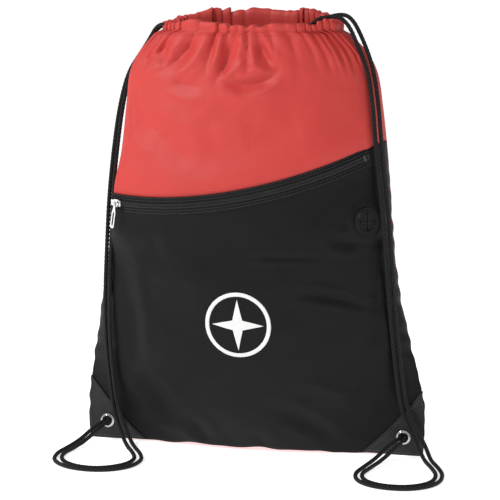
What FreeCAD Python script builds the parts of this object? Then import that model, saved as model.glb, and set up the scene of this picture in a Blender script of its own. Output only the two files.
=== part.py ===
import FreeCAD
import Part
import math
import os
import Sketcher

# Drawstring backpack, standing upright and loosely filled.
# Millimetres; +Z up, the front (zip pocket) faces -Y, the origin is on the floor under the bag's centre.

V = FreeCAD.Vector

SIZES = {
    # the bag
    "bag_width": 348.0,
    "fabric": 0.8,
    "layer_gap": 0.3,
    "seam_gap": 0.1,
    "back_fullness": 1.09,
    "panel_top": 417.5,
    # the mouth: a shallow arc in front and behind, where the drawcords run in sleeves
    "mouth_half_width": 84.0,
    "mouth_half_depth": 33.0,
    "mouth_arc": 25.0,
    "mouth_lean": -1.0,
    "sleeve_bottom": 418.0,
    "sleeve_height": 23.0,
    "sleeve_depth": 8.0,
    "sleeve_wall": 1.0,
    # drawcords
    "cord": 4.2,
    "left_lane": 424.5,
    "right_lane": 434.0,
    # corner patches and their eyelets
    "patch_side": 66.0,
    "patch_foot": 62.0,
    "eyelet_from_side": 20.0,
    "eyelet_high": 19.0,
    "eyelet_outer": 14.5,
    "eyelet_hole": 9.4,
    "eyelet_wall": 0.6,
    "eyelet_flange": 0.9,
    "eyelet_front": 4.9,
    "eyelet_back": 4.0,
    "knot": 16.0,
    "knot_face": 6.0,
    # zip: every piece of it turns about one tilted axis
    "zip_radius": 244.5,
    "zip_x": -27.0,
    "zip_y": 146.0,
    "zip_high": 365.0,
    "zip_pitch": 25.7,
    "zip_roll": 10.6,
    "zip_lie": 23.0,
    "zip_start": -31.0,
    "zip_end": 33.4,
    "tape_width": 8.0,
    "tape": 0.7,
    "tape_gap": 1.4,
    "coil_width": 2.2,
    "coil": 1.5,
    "stop_length": 2.4,
    "stop_high": 1.2,
    "stop_left": -30.75,
    "stop_right": 31.9,
    "slider_at": -28.9,
    "slider_length": 9.5,
    "slider_width": 7.4,
    "slider_plate": 0.9,
    "slider_back": -1.9,
    "slider_front": 2.3,
    "slider_blade": 0.8,
    "crown_high": 6.2,
    "crown_bar": 1.2,
    "crown_half": 3.8,
    "crown_width": 1.6,
    "pull_eye": 4.2,
    "pull_hole": 2.6,
    "pull_barrel": 2.4,
    "pull_length": 25.0,
    "pull_width": 4.8,
    "pull_thick": 1.2,
    "pull_slot": 1.9,
    "pull_lean": -4.5,
    "pull_swivel": -8.0,
    # earphone port
    "port_x": 120.5,
    "port_high": 240.5,
    "port_outer": 27.0,
    "port_face": 21.0,
    "port_thick": 1.6,
    "port_lip": 1.0,
    "port_window": 12.4,
    "flap": 1.0,
    "flap_gap": 0.3,
    "slit": 0.5,
    "flap_relief": 0.9,
    # printed mark
    "mark_x": -2.0,
    "mark_radius": 33.0,
    "mark_ring": 4.0,
    "mark_high": 137.0,
    "print": 0.25,
}

# How the filled bag swells: height, half width, half depth, how flat the sides run out, sideways lean.
STATIONS = (
    (0.0, 172.5, 20.0, 5.0, 0.0),
    (25.0, 173.2, 31.0, 4.5, 0.0),
    (60.0, 170.0, 43.0, 2.6, -1.0),
    (105.0, 161.5, 54.0, 1.4, -2.5),
    (160.0, 151.0, 63.0, 1.0, -3.5),
    (230.0, 139.5, 67.0, 0.85, -1.0),
    (300.0, 133.5, 64.0, 0.85, -0.5),
    (350.0, 128.0, 56.0, 0.9, -0.5),
    (385.0, 121.0, 47.0, 1.0, -1.5),
    (402.0, 106.5, 42.5, 1.0, -1.2),
    (417.5, 97.0, 37.0, 1.0, -1.0),
)
SECTION_STEPS = 36

# Drawcord routes, chosen by hand: from the sleeve's end, down the bag's side, round on the floor,
# and back up through the eyelet to the knot behind it.
ROUTES = {
    "right_cord_front": (
        (73.0, -16.8, 434.0), (85.0, -12.5, 436.5), (96.5, -12.5, 428.0), (105.5, -16.0, 409.5),
        (117.0, -21.0, 385.0), (123.5, -27.0, 352.0), (128.0, -35.0, 312.0), (134.0, -35.0, 262.0),
        (138.5, -33.0, 210.0), (141.8, -29.0, 158.0), (146.3, -23.5, 108.0), (150.0, -18.0, 72.0),
        (154.0, -14.0, 46.0), (162.0, -11.5, 27.5), (171.0, -14.5, 11.0), (178.5, -27.0, 2.2),
        (188.5, -50.0, 2.2), (197.0, -76.0, 2.2), (194.5, -103.0, 2.2), (177.0, -120.5, 2.2),
        (152.0, -122.0, 2.2), (132.5, -109.5, 2.2), (125.0, -87.0, 2.2), (130.0, -64.0, 2.2),
        (138.5, -44.0, 5.0), (148.5, -28.0, 13.0), (155.3, -16.0, 18.6), (156.3, -4.5, 19.0),
        (156.3, 6.0, 19.0),
    ),
    "right_cord_back": (
        (73.0, 16.8, 434.0), (85.0, 11.5, 437.5), (98.5, -1.0, 433.0), (110.5, -9.5, 413.0),
        (121.8, -17.0, 387.0), (128.5, -24.0, 353.0), (133.0, -32.0, 313.0), (139.0, -32.5, 263.0),
        (143.5, -30.5, 211.0), (146.8, -27.0, 159.0), (151.3, -22.0, 109.0), (155.0, -17.0, 74.0),
        (159.2, -13.5, 49.0), (168.0, -11.5, 30.0), (177.5, -13.5, 13.5), (184.5, -25.0, 2.2),
        (194.0, -46.0, 2.2), (203.0, -74.0, 2.2), (201.5, -105.0, 2.2), (181.0, -127.0, 2.2),
        (150.5, -128.5, 2.2), (127.0, -114.0, 2.2), (118.5, -88.0, 2.2), (123.5, -61.5, 2.2),
        (132.0, -40.0, 5.5), (142.5, -22.5, 15.0), (150.3, -13.0, 19.0), (151.7, -4.5, 19.0),
        (151.7, 6.0, 19.0),
    ),
    "left_cord_front": (
        (-75.0, -16.8, 424.5), (-87.0, -11.0, 427.0), (-98.5, -2.0, 424.5), (-107.5, 4.5, 412.0),
        (-117.0, 8.0, 399.0), (-129.0, 8.0, 380.0), (-135.0, -0.5, 346.0), (-138.5, -8.5, 306.0),
        (-141.0, -18.5, 258.0), (-139.7, -31.0, 208.0), (-141.0, -34.5, 158.0), (-143.0, -29.0, 112.0),
        (-142.5, -21.5, 76.0), (-141.0, -16.5, 46.0), (-135.3, -15.5, 25.0), (-126.3, -22.0, 8.5),
        (-116.5, -37.0, 2.2), (-103.0, -60.0, 2.2), (-92.5, -87.0, 2.2), (-99.0, -115.0, 2.2),
        (-123.5, -131.5, 2.2), (-155.0, -128.0, 2.2), (-178.0, -108.0, 2.2), (-184.0, -80.0, 2.2),
        (-180.0, -55.0, 2.2), (-174.0, -35.0, 5.0), (-165.5, -21.0, 13.5), (-157.5, -14.0, 18.8),
        (-156.3, -4.5, 19.0), (-156.3, 6.0, 19.0),
    ),
    "left_cord_back": (
        (-75.0, 16.8, 424.5), (-88.0, 13.5, 427.5), (-100.5, 10.0, 423.0), (-111.0, 12.5, 409.0),
        (-121.5, 14.0, 395.0), (-133.5, 12.5, 376.5), (-139.5, 2.5, 344.0), (-143.3, -5.5, 305.0),
        (-146.0, -15.5, 257.0), (-145.0, -28.0, 208.0), (-146.3, -32.0, 159.0), (-148.0, -26.5, 113.0),
        (-147.5, -19.0, 77.0), (-146.0, -14.5, 49.0), (-143.6, -12.5, 29.0), (-137.0, -15.5, 12.5),
        (-124.5, -36.0, 2.2), (-110.5, -60.0, 2.2), (-100.5, -84.5, 2.2), (-106.0, -108.5, 2.2),
        (-127.0, -124.5, 2.2), (-151.5, -121.0, 2.2), (-171.5, -103.0, 2.2), (-177.5, -79.0, 2.2),
        (-173.5, -58.0, 2.2), (-167.0, -39.0, 5.5), (-158.0, -24.0, 14.5), (-152.5, -14.0, 19.3),
        (-151.7, -4.5, 19.0), (-151.7, 6.0, 19.0),
    ),
}

doc = FreeCAD.newDocument("drawstring_backpack")
sheet = doc.addObject("Spreadsheet::Sheet", "sizes")
pieces = []


def fill_sheet():
    """Write every driving size to the sheet, its name beside it."""
    for row, (name, value) in enumerate(SIZES.items(), start=1):
        sheet.set("A%d" % row, name)
        sheet.set("B%d" % row, str(value))
        sheet.setAlias("B%d" % row, name)
    doc.recompute()


def size(name):
    """One driving size, read back from the sheet."""
    return float(sheet.get(name))


def value_of(expression):
    """A number for an expression over the sheet's names."""
    result = sheet.evalExpression(expression)
    return float(getattr(result, "Value", result))


def keep(item, label):
    """Name a finished sub-part and list it for export."""
    item.Label = label
    pieces.append(item)
    return item


def solid_piece(label, shape, placement=None):
    """A sub-part whose shape comes from the bag's own curved surfaces."""
    item = doc.addObject("Part::Feature", label)
    item.Shape = shape
    if placement is not None:
        item.Placement = placement
    return keep(item, label)


# ---------------------------------------------------------------- sketch helpers

def origin_plane(body, role):
    """A body's own origin plane, found by its role."""
    for feature in body.Origin.OriginFeatures:
        if feature.Role == role:
            return feature
    raise RuntimeError("no plane " + role)


def new_sketch(body, role, lift="0"):
    """A sketch on one of the body's origin planes, lifted along the plane's normal."""
    sketch = body.newObject("Sketcher::SketchObject", body.Name + "_sketch")
    sketch.AttachmentSupport = [(origin_plane(body, role), "")]
    sketch.MapMode = "FlatFace"
    if lift != "0":
        sketch.setExpression(".AttachmentOffset.Base.z", lift)
    return sketch


def bind(sketch, constraint, expression):
    """Add a dimension and tie it to an expression over the sheet."""
    index = sketch.addConstraint(constraint)
    sketch.setExpression("Constraints[%d]" % index, expression)


def pin_vertex(sketch, line, across, up):
    """Fix the start of a line at two expressions from the sketch's origin."""
    if across == "0":
        sketch.addConstraint(Sketcher.Constraint("PointOnObject", line, 1, -2))
    else:
        bind(sketch, Sketcher.Constraint("DistanceX", -1, 1, line, 1, value_of(across)), across)
    if up == "0":
        sketch.addConstraint(Sketcher.Constraint("PointOnObject", line, 1, -1))
    else:
        bind(sketch, Sketcher.Constraint("DistanceY", -1, 1, line, 1, value_of(up)), up)


def outline(sketch, corners):
    """A closed straight-sided outline; each corner is a pair of expressions."""
    spots = [V(value_of(a), value_of(b), 0) for a, b in corners]
    first = sketch.GeometryCount
    count = len(spots)
    for i in range(count):
        sketch.addGeometry(Part.LineSegment(spots[i], spots[(i + 1) % count]), False)
    for i in range(count):
        sketch.addConstraint(Sketcher.Constraint("Coincident", first + i, 2, first + (i + 1) % count, 1))
    for i, (across, up) in enumerate(corners):
        pin_vertex(sketch, first + i, across, up)


def circle(sketch, across, up, radius):
    """A circle whose centre and radius are expressions."""
    centre = V(value_of(across), value_of(up), 0)
    index = sketch.addGeometry(Part.Circle(centre, V(0, 0, 1), value_of(radius)), False)
    bind(sketch, Sketcher.Constraint("Radius", index, value_of(radius)), radius)
    if across == "0":
        sketch.addConstraint(Sketcher.Constraint("PointOnObject", index, 3, -2))
    else:
        bind(sketch, Sketcher.Constraint("DistanceX", -1, 1, index, 3, value_of(across)), across)
    if up == "0":
        sketch.addConstraint(Sketcher.Constraint("PointOnObject", index, 3, -1))
    else:
        bind(sketch, Sketcher.Constraint("DistanceY", -1, 1, index, 3, value_of(up)), up)


def box_corners(left, bottom, width, height):
    """The four corners of an upright rectangle, as expressions."""
    right = "(%s) + (%s)" % (left, width)
    top = "(%s) + (%s)" % (bottom, height)
    return [(left, bottom), (right, bottom), (right, top), (left, top)]


def new_body(label):
    """An empty body, listed for export."""
    return keep(doc.addObject("PartDesign::Body", label), label)


def pad(body, sketch, length, midplane=False):
    """Thicken a sketch along its plane's normal."""
    feature = body.newObject("PartDesign::Pad", body.Name + "_pad")
    feature.Profile = sketch
    feature.setExpression("Length", length)
    feature.Midplane = midplane
    doc.recompute()
    return feature


def pocket(body, sketch, length):
    """Cut a sketch right through the body, both ways, and prove that it cut."""
    before = body.Shape.Volume
    feature = body.newObject("PartDesign::Pocket", body.Name + "_pocket")
    feature.Profile = sketch
    feature.Midplane = True
    feature.setExpression("Length", length)
    doc.recompute()
    if body.Shape.Volume >= before - 0.01:
        raise RuntimeError("nothing was cut from " + body.Label)
    return feature


def revolve(body, sketch, angle):
    """Turn a sketch on the XZ plane about the body's Z axis."""
    feature = body.newObject("PartDesign::Revolution", body.Name + "_turn")
    feature.Profile = sketch
    feature.ReferenceAxis = (sketch, ["V_Axis"])
    feature.setExpression("Angle", angle)
    doc.recompute()
    return feature


# ---------------------------------------------------------------- the bag's swelling surface

def blended(column, height):
    """A station column at any height, on a smooth curve through the stations."""
    rows = STATIONS
    last = len(rows) - 1
    i = 0
    while i < last - 1 and height > rows[i + 1][0]:
        i += 1
    low, high = rows[i], rows[i + 1]
    span = high[0] - low[0]
    before = rows[max(i - 1, 0)]
    after = rows[min(i + 2, last)]
    slope_low = (high[column] - before[column]) / (high[0] - before[0])
    slope_high = (after[column] - low[column]) / (after[0] - low[0])
    part = (height - low[0]) / span
    square, cube = part * part, part ** 3
    return ((2 * cube - 3 * square + 1) * low[column] + (cube - 2 * square + part) * span * slope_low
            + (3 * square - 2 * cube) * high[column] + (cube - square) * span * slope_high)


def surface_point(turn, height, proud, fullness=1.0):
    """A point of the front surface, "proud" outside the fabric's inner face; turn runs -90 to 90."""
    half_width, half_depth, flatness, lean = (blended(column, height) for column in (1, 2, 3, 4))
    across = lean + (half_width + proud) * math.sin(math.radians(turn))
    depth = fullness * half_depth * abs(math.cos(math.radians(turn))) ** flatness + proud
    return V(across, -depth, height)


def section(height, proud, behind, fullness):
    """A closed outline of the front half at one height, shut along a line at y = behind."""
    turns = [90.0 * (2.0 * i / SECTION_STEPS - 1.0) for i in range(SECTION_STEPS + 1)]
    points = [surface_point(turn, height, proud, fullness) for turn in turns]
    curve = Part.BSplineCurve()
    curve.interpolate(points)
    left, right = points[0], points[-1]
    back_left = V(left.x, behind, height)
    back_right = V(right.x, behind, height)
    edges = [curve.toShape(), Part.makeLine(right, back_right),
             Part.makeLine(back_right, back_left), Part.makeLine(back_left, left)]
    return Part.Wire(edges)


def half_bag(proud, behind, fullness):
    """A solid of the front half, from its outer face at "proud" back to y = behind, a little overlong."""
    heights = [-3.0] + [row[0] for row in STATIONS[1:-1]] + [STATIONS[-1][0] + 3.0]
    return Part.makeLoft([section(z, proud, behind, fullness) for z in heights], True, False)


def slab(low, high):
    """Everything between two heights."""
    return Part.makeBox(500.0, 400.0, high - low, V(-250.0, -200.0, low))


def skin(inside, outside, fullness=1.0):
    """The front half's skin between two offsets, from the floor to the panels' top edge."""
    outer = half_bag(outside, -size("seam_gap"), fullness).common(slab(0.0, size("panel_top")))
    result = outer.cut(half_bag(inside, 5.0, fullness))
    if result.Volume > 0.2 * outer.Volume:
        raise RuntimeError("the bag was not hollowed")
    return result


def turned_back(shape):
    """The same piece on the back of the bag."""
    return shape.mirror(V(0, 0, 0), V(0, 1, 0))


def prism(corners, front, back):
    """A flat outline in the XZ plane, carried from y = front to y = back."""
    points = [V(x, front, z) for x, z in corners]
    face = Part.Face(Part.makePolygon(points + points[:1]))
    return face.extrude(V(0, back - front, 0))


def bore(across, high, radius, front, back):
    """A round cutter along Y."""
    return Part.makeCylinder(radius, back - front, V(across, front, high), V(0, 1, 0))


# ---------------------------------------------------------------- the bag

def zip_frame():
    """The tilted frame whose Z axis every zip piece turns about."""
    tilt = FreeCAD.Rotation(V(0, 1, 0), -size("zip_roll")).multiply(
        FreeCAD.Rotation(V(1, 0, 0), size("zip_pitch")))
    return FreeCAD.Placement(V(size("zip_x"), size("zip_y"), size("zip_high")), tilt)


def below_zip(drop):
    """Everything below a plane parallel to the zip, "drop" under its line."""
    reach = 700.0
    block = Part.makeBox(reach, reach, reach, V(-reach / 2, -reach / 2, -reach - drop))
    block.Placement = zip_frame().multiply(block.Placement)
    return block


def eyelet_spots():
    """Where the two eyelets are, left then right."""
    across = size("bag_width") / 2 - size("eyelet_from_side")
    return [(-across, "left"), (across, "right")]


def drilled(shape):
    """Cut the eyelets' barrel holes."""
    radius = size("eyelet_hole") / 2 + size("eyelet_wall") + 0.2
    for across, _ in eyelet_spots():
        shape = shape.cut(bore(across, size("eyelet_high"), radius, -30.0, 30.0))
    return shape


def patch_corners(side):
    """The triangular corner patch, standing in the bag's bottom corner."""
    edge = side * (size("bag_width") / 2 + 10.0)
    corner = side * size("bag_width") / 2
    foot = corner - side * size("patch_foot")
    top = size("patch_side")
    slope = top / size("patch_foot")
    return [(edge, -1.0), (foot - side / slope, -1.0), (edge, top + 10.0 * slope)]


def make_panels():
    """Front and back panels, each with its foot folded under, and the pocket over the lower front."""
    fabric = size("fabric")
    for label, fullness in (("front_panel", 1.0), ("back_panel", size("back_fullness"))):
        foot = half_bag(fabric, -size("seam_gap"), fullness).common(slab(0.0, fabric))
        panel = drilled(skin(0.0, fabric, fullness).fuse(foot))
        solid_piece(label, panel if fullness == 1.0 else turned_back(panel))
    under = fabric + size("layer_gap")
    pocket_skin = skin(under, under + fabric).common(below_zip(size("tape_width") + size("tape_gap")))
    hole = Part.makeCylinder(size("port_window") * 0.75, 12.0, V(0, 0, -6.0), V(0, 0, 1))
    hole.Placement = port_frame().multiply(hole.Placement)
    solid_piece("pocket_panel", drilled(pocket_skin.cut(hole)))


def make_patches():
    """Four corner patches: over the pocket in front, over the back panel behind."""
    fabric = size("fabric")
    step = fabric + size("layer_gap")
    for place, under, fullness in (("front", 2 * step, 1.0), ("back", step, size("back_fullness"))):
        layer = drilled(skin(under, under + fabric, fullness))
        for side, hand in ((-1, "left"), (1, "right")):
            patch = layer.common(prism(patch_corners(side), -80.0, 0.0))
            label = "corner_patch_%s_%s" % (place, hand)
            solid_piece(label, patch if place == "front" else turned_back(patch))


def mark_outline():
    """A ring with a four-pointed star inside, as a flat shape facing front."""
    centre_x, high = size("mark_x"), size("mark_high")
    outer = size("mark_radius")
    inner = outer - size("mark_ring")
    ring = bore(centre_x, high, outer, -90.0, 0.0).cut(bore(centre_x, high, inner, -90.0, 0.0))
    reaches = (inner - 3.0, 7.0)
    corners = []
    for i in range(8):
        angle = math.radians(45.0 * i)
        reach = reaches[i % 2]
        corners.append((centre_x + reach * math.sin(angle), high + reach * math.cos(angle)))
    return ring.fuse(prism(corners, -90.0, 0.0))


def make_mark():
    """The printed mark, a thin skin on the pocket."""
    under = 2 * size("fabric") + size("layer_gap") + 0.02
    solid_piece("printed_mark", skin(under, under + size("print")).common(mark_outline()))


# ---------------------------------------------------------------- the mouth

def mouth_arcs():
    """The mouth's long arc radius, short arc radius and the long arc's half angle."""
    half = math.radians(size("mouth_arc"))
    reach = ((size("mouth_half_width") - size("mouth_half_depth"))
             / (math.sin(half) + math.cos(half) - 1.0))
    short = size("mouth_half_depth") - reach * (1.0 - math.cos(half))
    return reach + short, short, half


def make_sleeves():
    """Front and back cord sleeves: hollow channels that follow the mouth's long arcs."""
    radius, _, _ = mouth_arcs()
    sheet.set("D1", str(round(radius, 3)))
    sheet.setAlias("D1", "mouth_radius")
    doc.recompute()
    for label, facing in (("front_sleeve", -1), ("back_sleeve", 1)):
        body = new_body(label)
        sketch = new_sketch(body, "XZ_Plane")
        outline(sketch, box_corners("sizes.mouth_radius - sizes.sleeve_depth / 2", "sizes.sleeve_bottom",
                                    "sizes.sleeve_depth", "sizes.sleeve_height"))
        outline(sketch, box_corners(
            "sizes.mouth_radius - sizes.sleeve_depth / 2 + sizes.sleeve_wall",
            "sizes.sleeve_bottom + sizes.sleeve_wall",
            "sizes.sleeve_depth - 2 * sizes.sleeve_wall",
            "sizes.sleeve_height - 2 * sizes.sleeve_wall"))
        revolve(body, sketch, "2 * sizes.mouth_arc")
        start = facing * 90.0 - size("mouth_arc")
        shift = -facing * (radius - size("mouth_half_depth"))
        body.Placement = FreeCAD.Placement(V(size("mouth_lean"), shift, 0),
                                           FreeCAD.Rotation(V(0, 0, 1), start))


def on_mouth(across, back, high):
    """A point given from the mouth's own centre."""
    return V(across + size("mouth_lean"), back, high)


def make_cord_loops():
    """The part of each drawcord that runs round inside both sleeves."""
    long_radius, short_radius, half = mouth_arcs()
    end_x = short_radius * math.sin(half) + size("mouth_half_width") - short_radius
    end_y = short_radius * math.cos(half)
    depth = size("mouth_half_depth")
    for label, side, lane in (("left_cord_loop", -1, "left_lane"), ("right_cord_loop", 1, "right_lane")):
        high = size(lane)
        start = on_mouth(side * end_x, -end_y, high)
        front_middle = on_mouth(0, -depth, high)
        far_front = on_mouth(-side * end_x, -end_y, high)
        far_tip = on_mouth(-side * size("mouth_half_width"), 0, high)
        far_back = on_mouth(-side * end_x, end_y, high)
        back_middle = on_mouth(0, depth, high)
        finish = on_mouth(side * end_x, end_y, high)
        wire = Part.Wire([Part.Arc(start, front_middle, far_front).toShape(),
                          Part.Arc(far_front, far_tip, far_back).toShape(),
                          Part.Arc(far_back, back_middle, finish).toShape()])
        solid_piece(label, tube(wire, start, front_arc_direction(side, half)))


def front_arc_direction(side, half):
    """The way the front arc sets off from its end."""
    return V(-side * math.cos(half), -math.sin(half), 0)


def tube(wire, start, direction):
    """A round cord along a wire."""
    ring = Part.Wire([Part.Circle(start, direction, size("cord") / 2).toShape()])
    return wire.makePipeShell([ring], True, False)


# ---------------------------------------------------------------- free cords

def cord_wire(name, spots):
    """Straight runs joined by tangent arcs, and the least radius among them."""
    edges = []
    radii = []
    here = spots[0]
    for i in range(1, len(spots) - 1):
        corner = spots[i]
        run_in, run_out = corner - spots[i - 1], spots[i + 1] - corner
        turn = run_in.getAngle(run_out)
        reach = 0.45 * min(run_in.Length, run_out.Length)
        radii.append(reach / math.tan(turn / 2))
        step_in = V(run_in).normalize()
        step_out = V(run_out).normalize()
        begin = corner - step_in * reach
        end = corner + step_out * reach
        inward = (step_out - step_in).normalize()
        centre = corner + inward * (radii[-1] / math.cos(turn / 2))
        middle = centre - inward * radii[-1]
        edges.append(Part.LineSegment(here, begin).toShape())
        edges.append(Part.Arc(begin, middle, end).toShape())
        here = end
    edges.append(Part.LineSegment(here, spots[-1]).toShape())
    wire = Part.Wire(edges)
    print("%s: length %.0f mm, least radius %.1f mm" % (name, wire.Length, min(radii)),
          [round(r) for r in radii])
    return wire


def make_free_cords():
    """The four cord ends outside the sleeves."""
    for name, route in ROUTES.items():
        spots = [V(*point) for point in route]
        wire = cord_wire(name, spots)
        shape = tube(wire, spots[0], spots[1] - spots[0])
        ideal = math.pi * (size("cord") / 2) ** 2 * wire.Length
        if abs(shape.Volume / ideal - 1.0) > 0.02:
            raise RuntimeError("%s has volume %.0f, not %.0f" % (name, shape.Volume, ideal))
        solid_piece(name, shape)


def make_knots():
    """The knot that stops each pair of cord ends behind its eyelet."""
    for across, hand in eyelet_spots():
        ball = doc.addObject("Part::Sphere", hand + "_knot_ball")
        ball.setExpression("Radius", "sizes.knot / 2")
        ball.Placement.Base = V(across, size("knot_face") + size("knot") * 0.36, size("eyelet_high"))
        trim = doc.addObject("Part::Box", hand + "_knot_trim")
        trim.setExpression("Length", "2 * sizes.knot")
        trim.setExpression("Width", "sizes.knot")
        trim.setExpression("Height", "2 * sizes.knot")
        trim.Placement.Base = V(across - size("knot"), size("knot_face") - size("knot"), 0)
        cut = doc.addObject("Part::Cut", hand + "_knot_cut")
        cut.Base = ball
        cut.Tool = trim
        doc.recompute()
        keep(cut, hand + "_knot")


# ---------------------------------------------------------------- eyelets

def make_eyelets():
    """Each eyelet is a flanged barrel, set through every layer and closed on a washer behind."""
    for across, hand in eyelet_spots():
        facing = FreeCAD.Rotation(V(1, 0, 0), 90)
        place = FreeCAD.Placement(V(across, 0, size("eyelet_high")), facing)
        barrel = new_body("eyelet_" + hand)
        sketch = new_sketch(barrel, "XZ_Plane")
        outline(sketch, [
            ("sizes.eyelet_hole / 2", "-sizes.eyelet_back - sizes.eyelet_flange"),
            ("sizes.eyelet_hole / 2 + sizes.eyelet_wall", "-sizes.eyelet_back - sizes.eyelet_flange"),
            ("sizes.eyelet_hole / 2 + sizes.eyelet_wall", "sizes.eyelet_front"),
            ("sizes.eyelet_outer / 2", "sizes.eyelet_front"),
            ("sizes.eyelet_outer / 2 - 0.4", "sizes.eyelet_front + sizes.eyelet_flange"),
            ("sizes.eyelet_hole / 2 + 0.3", "sizes.eyelet_front + sizes.eyelet_flange"),
            ("sizes.eyelet_hole / 2", "sizes.eyelet_front + sizes.eyelet_flange - 0.3")])
        revolve(barrel, sketch, "360")
        barrel.Placement = place
        washer = new_body("eyelet_washer_" + hand)
        sketch = new_sketch(washer, "XZ_Plane")
        outline(sketch, box_corners("sizes.eyelet_hole / 2 + sizes.eyelet_wall",
                                    "-sizes.eyelet_back - sizes.eyelet_flange",
                                    "(sizes.eyelet_outer - sizes.eyelet_hole) / 2 - sizes.eyelet_wall",
                                    "sizes.eyelet_flange"))
        revolve(washer, sketch, "360")
        washer.Placement = place


# ---------------------------------------------------------------- the zip

def zip_place(angle):
    """The zip frame turned so that its X axis meets the zip line at an angle from the middle."""
    return zip_frame().multiply(FreeCAD.Placement(V(0, 0, 0), FreeCAD.Rotation(V(0, 0, 1), angle - 90.0)))


def leaning(out, along):
    """A corner of a zip profile: "out" from the tape's face, "along" up the tape, leaned back."""
    across = ("sizes.zip_radius + (%s) * cos(sizes.zip_lie * 1 deg) - (%s) * sin(sizes.zip_lie * 1 deg)"
              % (out, along))
    up = "(%s) * sin(sizes.zip_lie * 1 deg) + (%s) * cos(sizes.zip_lie * 1 deg)" % (out, along)
    return across, up


def zip_piece(label, near, width, back, thick, start, sweep):
    """A strip that follows the zip line, "near" to "near + width" up the tape."""
    body = new_body(label)
    sketch = new_sketch(body, "XZ_Plane")
    outline(sketch, [
        leaning(back, near),
        leaning("(%s) + (%s)" % (back, thick), near),
        leaning("(%s) + (%s)" % (back, thick), "(%s) + (%s)" % (near, width)),
        leaning(back, "(%s) + (%s)" % (near, width))])
    revolve(body, sketch, sweep)
    body.Placement = zip_place(value_of(start))
    return body


def make_zip_strips():
    """Two tapes, two coils and the end stops."""
    whole = "sizes.zip_end - sizes.zip_start"
    start = "sizes.zip_start"
    gap = "sizes.tape_gap / 2"
    zip_piece("zipper_tape_upper", gap, "sizes.tape_width", "-sizes.tape", "sizes.tape", start, whole)
    zip_piece("zipper_tape_lower", "-sizes.tape_gap / 2 - sizes.tape_width", "sizes.tape_width",
              "-sizes.tape", "sizes.tape", start, whole)
    zip_piece("zipper_coil_upper", gap, "sizes.coil_width", "0", "sizes.coil", start, whole)
    zip_piece("zipper_coil_lower", "-sizes.tape_gap / 2 - sizes.coil_width", "sizes.coil_width", "0",
              "sizes.coil", start, whole)
    stop_turn = "sizes.stop_length / sizes.zip_radius * 180 / pi"
    for label, at in (("zipper_stop_left", "sizes.stop_left"), ("zipper_stop_right", "sizes.stop_right")):
        zip_piece(label, "-sizes.coil_width - sizes.tape_gap / 2", "2 * sizes.coil_width + sizes.tape_gap",
                  "sizes.coil", "sizes.stop_high", at, stop_turn)


def slider_place():
    """Slider frame: X out of the zip, Y along it to the right, Z up the tape."""
    out = FreeCAD.Placement(V(size("zip_radius"), 0, 0), FreeCAD.Rotation(V(0, 1, 0), -size("zip_lie")))
    return zip_place(size("slider_at")).multiply(out)


def slider_plate(body, lift):
    """One plate of the slider, broad at its nose and narrowed to the tail."""
    sketch = new_sketch(body, "YZ_Plane", lift)
    half, wide = "sizes.slider_length / 2", "sizes.slider_width / 2"
    outline(sketch, [
        ("-(%s)" % half, "-(%s) + 1.2" % wide), ("-(%s) + 1.4" % half, "-(%s)" % wide),
        ("1", "-(%s)" % wide), (half, "-(%s) + 1.1" % wide),
        (half, "(%s) - 1.1" % wide), ("1", wide),
        ("-(%s) + 1.4" % half, wide), ("-(%s)" % half, "(%s) - 1.2" % wide)])
    pad(body, sketch, "sizes.slider_plate")


def make_slider():
    """Slider body: two plates joined by the blade that parts the coils, with a crown for the pull."""
    body = new_body("slider_body")
    slider_plate(body, "sizes.slider_back")
    blade = new_sketch(body, "YZ_Plane", "sizes.slider_back + sizes.slider_plate / 2")
    outline(blade, box_corners("-sizes.slider_length / 2 + 0.6", "-sizes.slider_blade / 2", "3.2",
                               "sizes.slider_blade"))
    pad(body, blade, "sizes.slider_front - sizes.slider_back")
    slider_plate(body, "sizes.slider_front")
    crown = new_sketch(body, "XY_Plane")
    foot = "sizes.slider_front + sizes.slider_plate / 2"
    under = "sizes.crown_high - sizes.crown_bar"
    reach = "sizes.crown_half"
    outline(crown, [
        (foot, "-(%s)" % reach), ("sizes.crown_high - 1", "-(%s)" % reach),
        ("sizes.crown_high", "-(%s) + 1" % reach), ("sizes.crown_high", "(%s) - 1" % reach),
        ("sizes.crown_high - 1", reach), (foot, reach),
        (foot, "(%s) - 1.2" % reach), (under, "(%s) - 1.2" % reach),
        (under, "-(%s) + 1.2" % reach), (foot, "-(%s) + 1.2" % reach)])
    pad(body, crown, "sizes.crown_width", True)
    body.Placement = slider_place()


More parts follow.
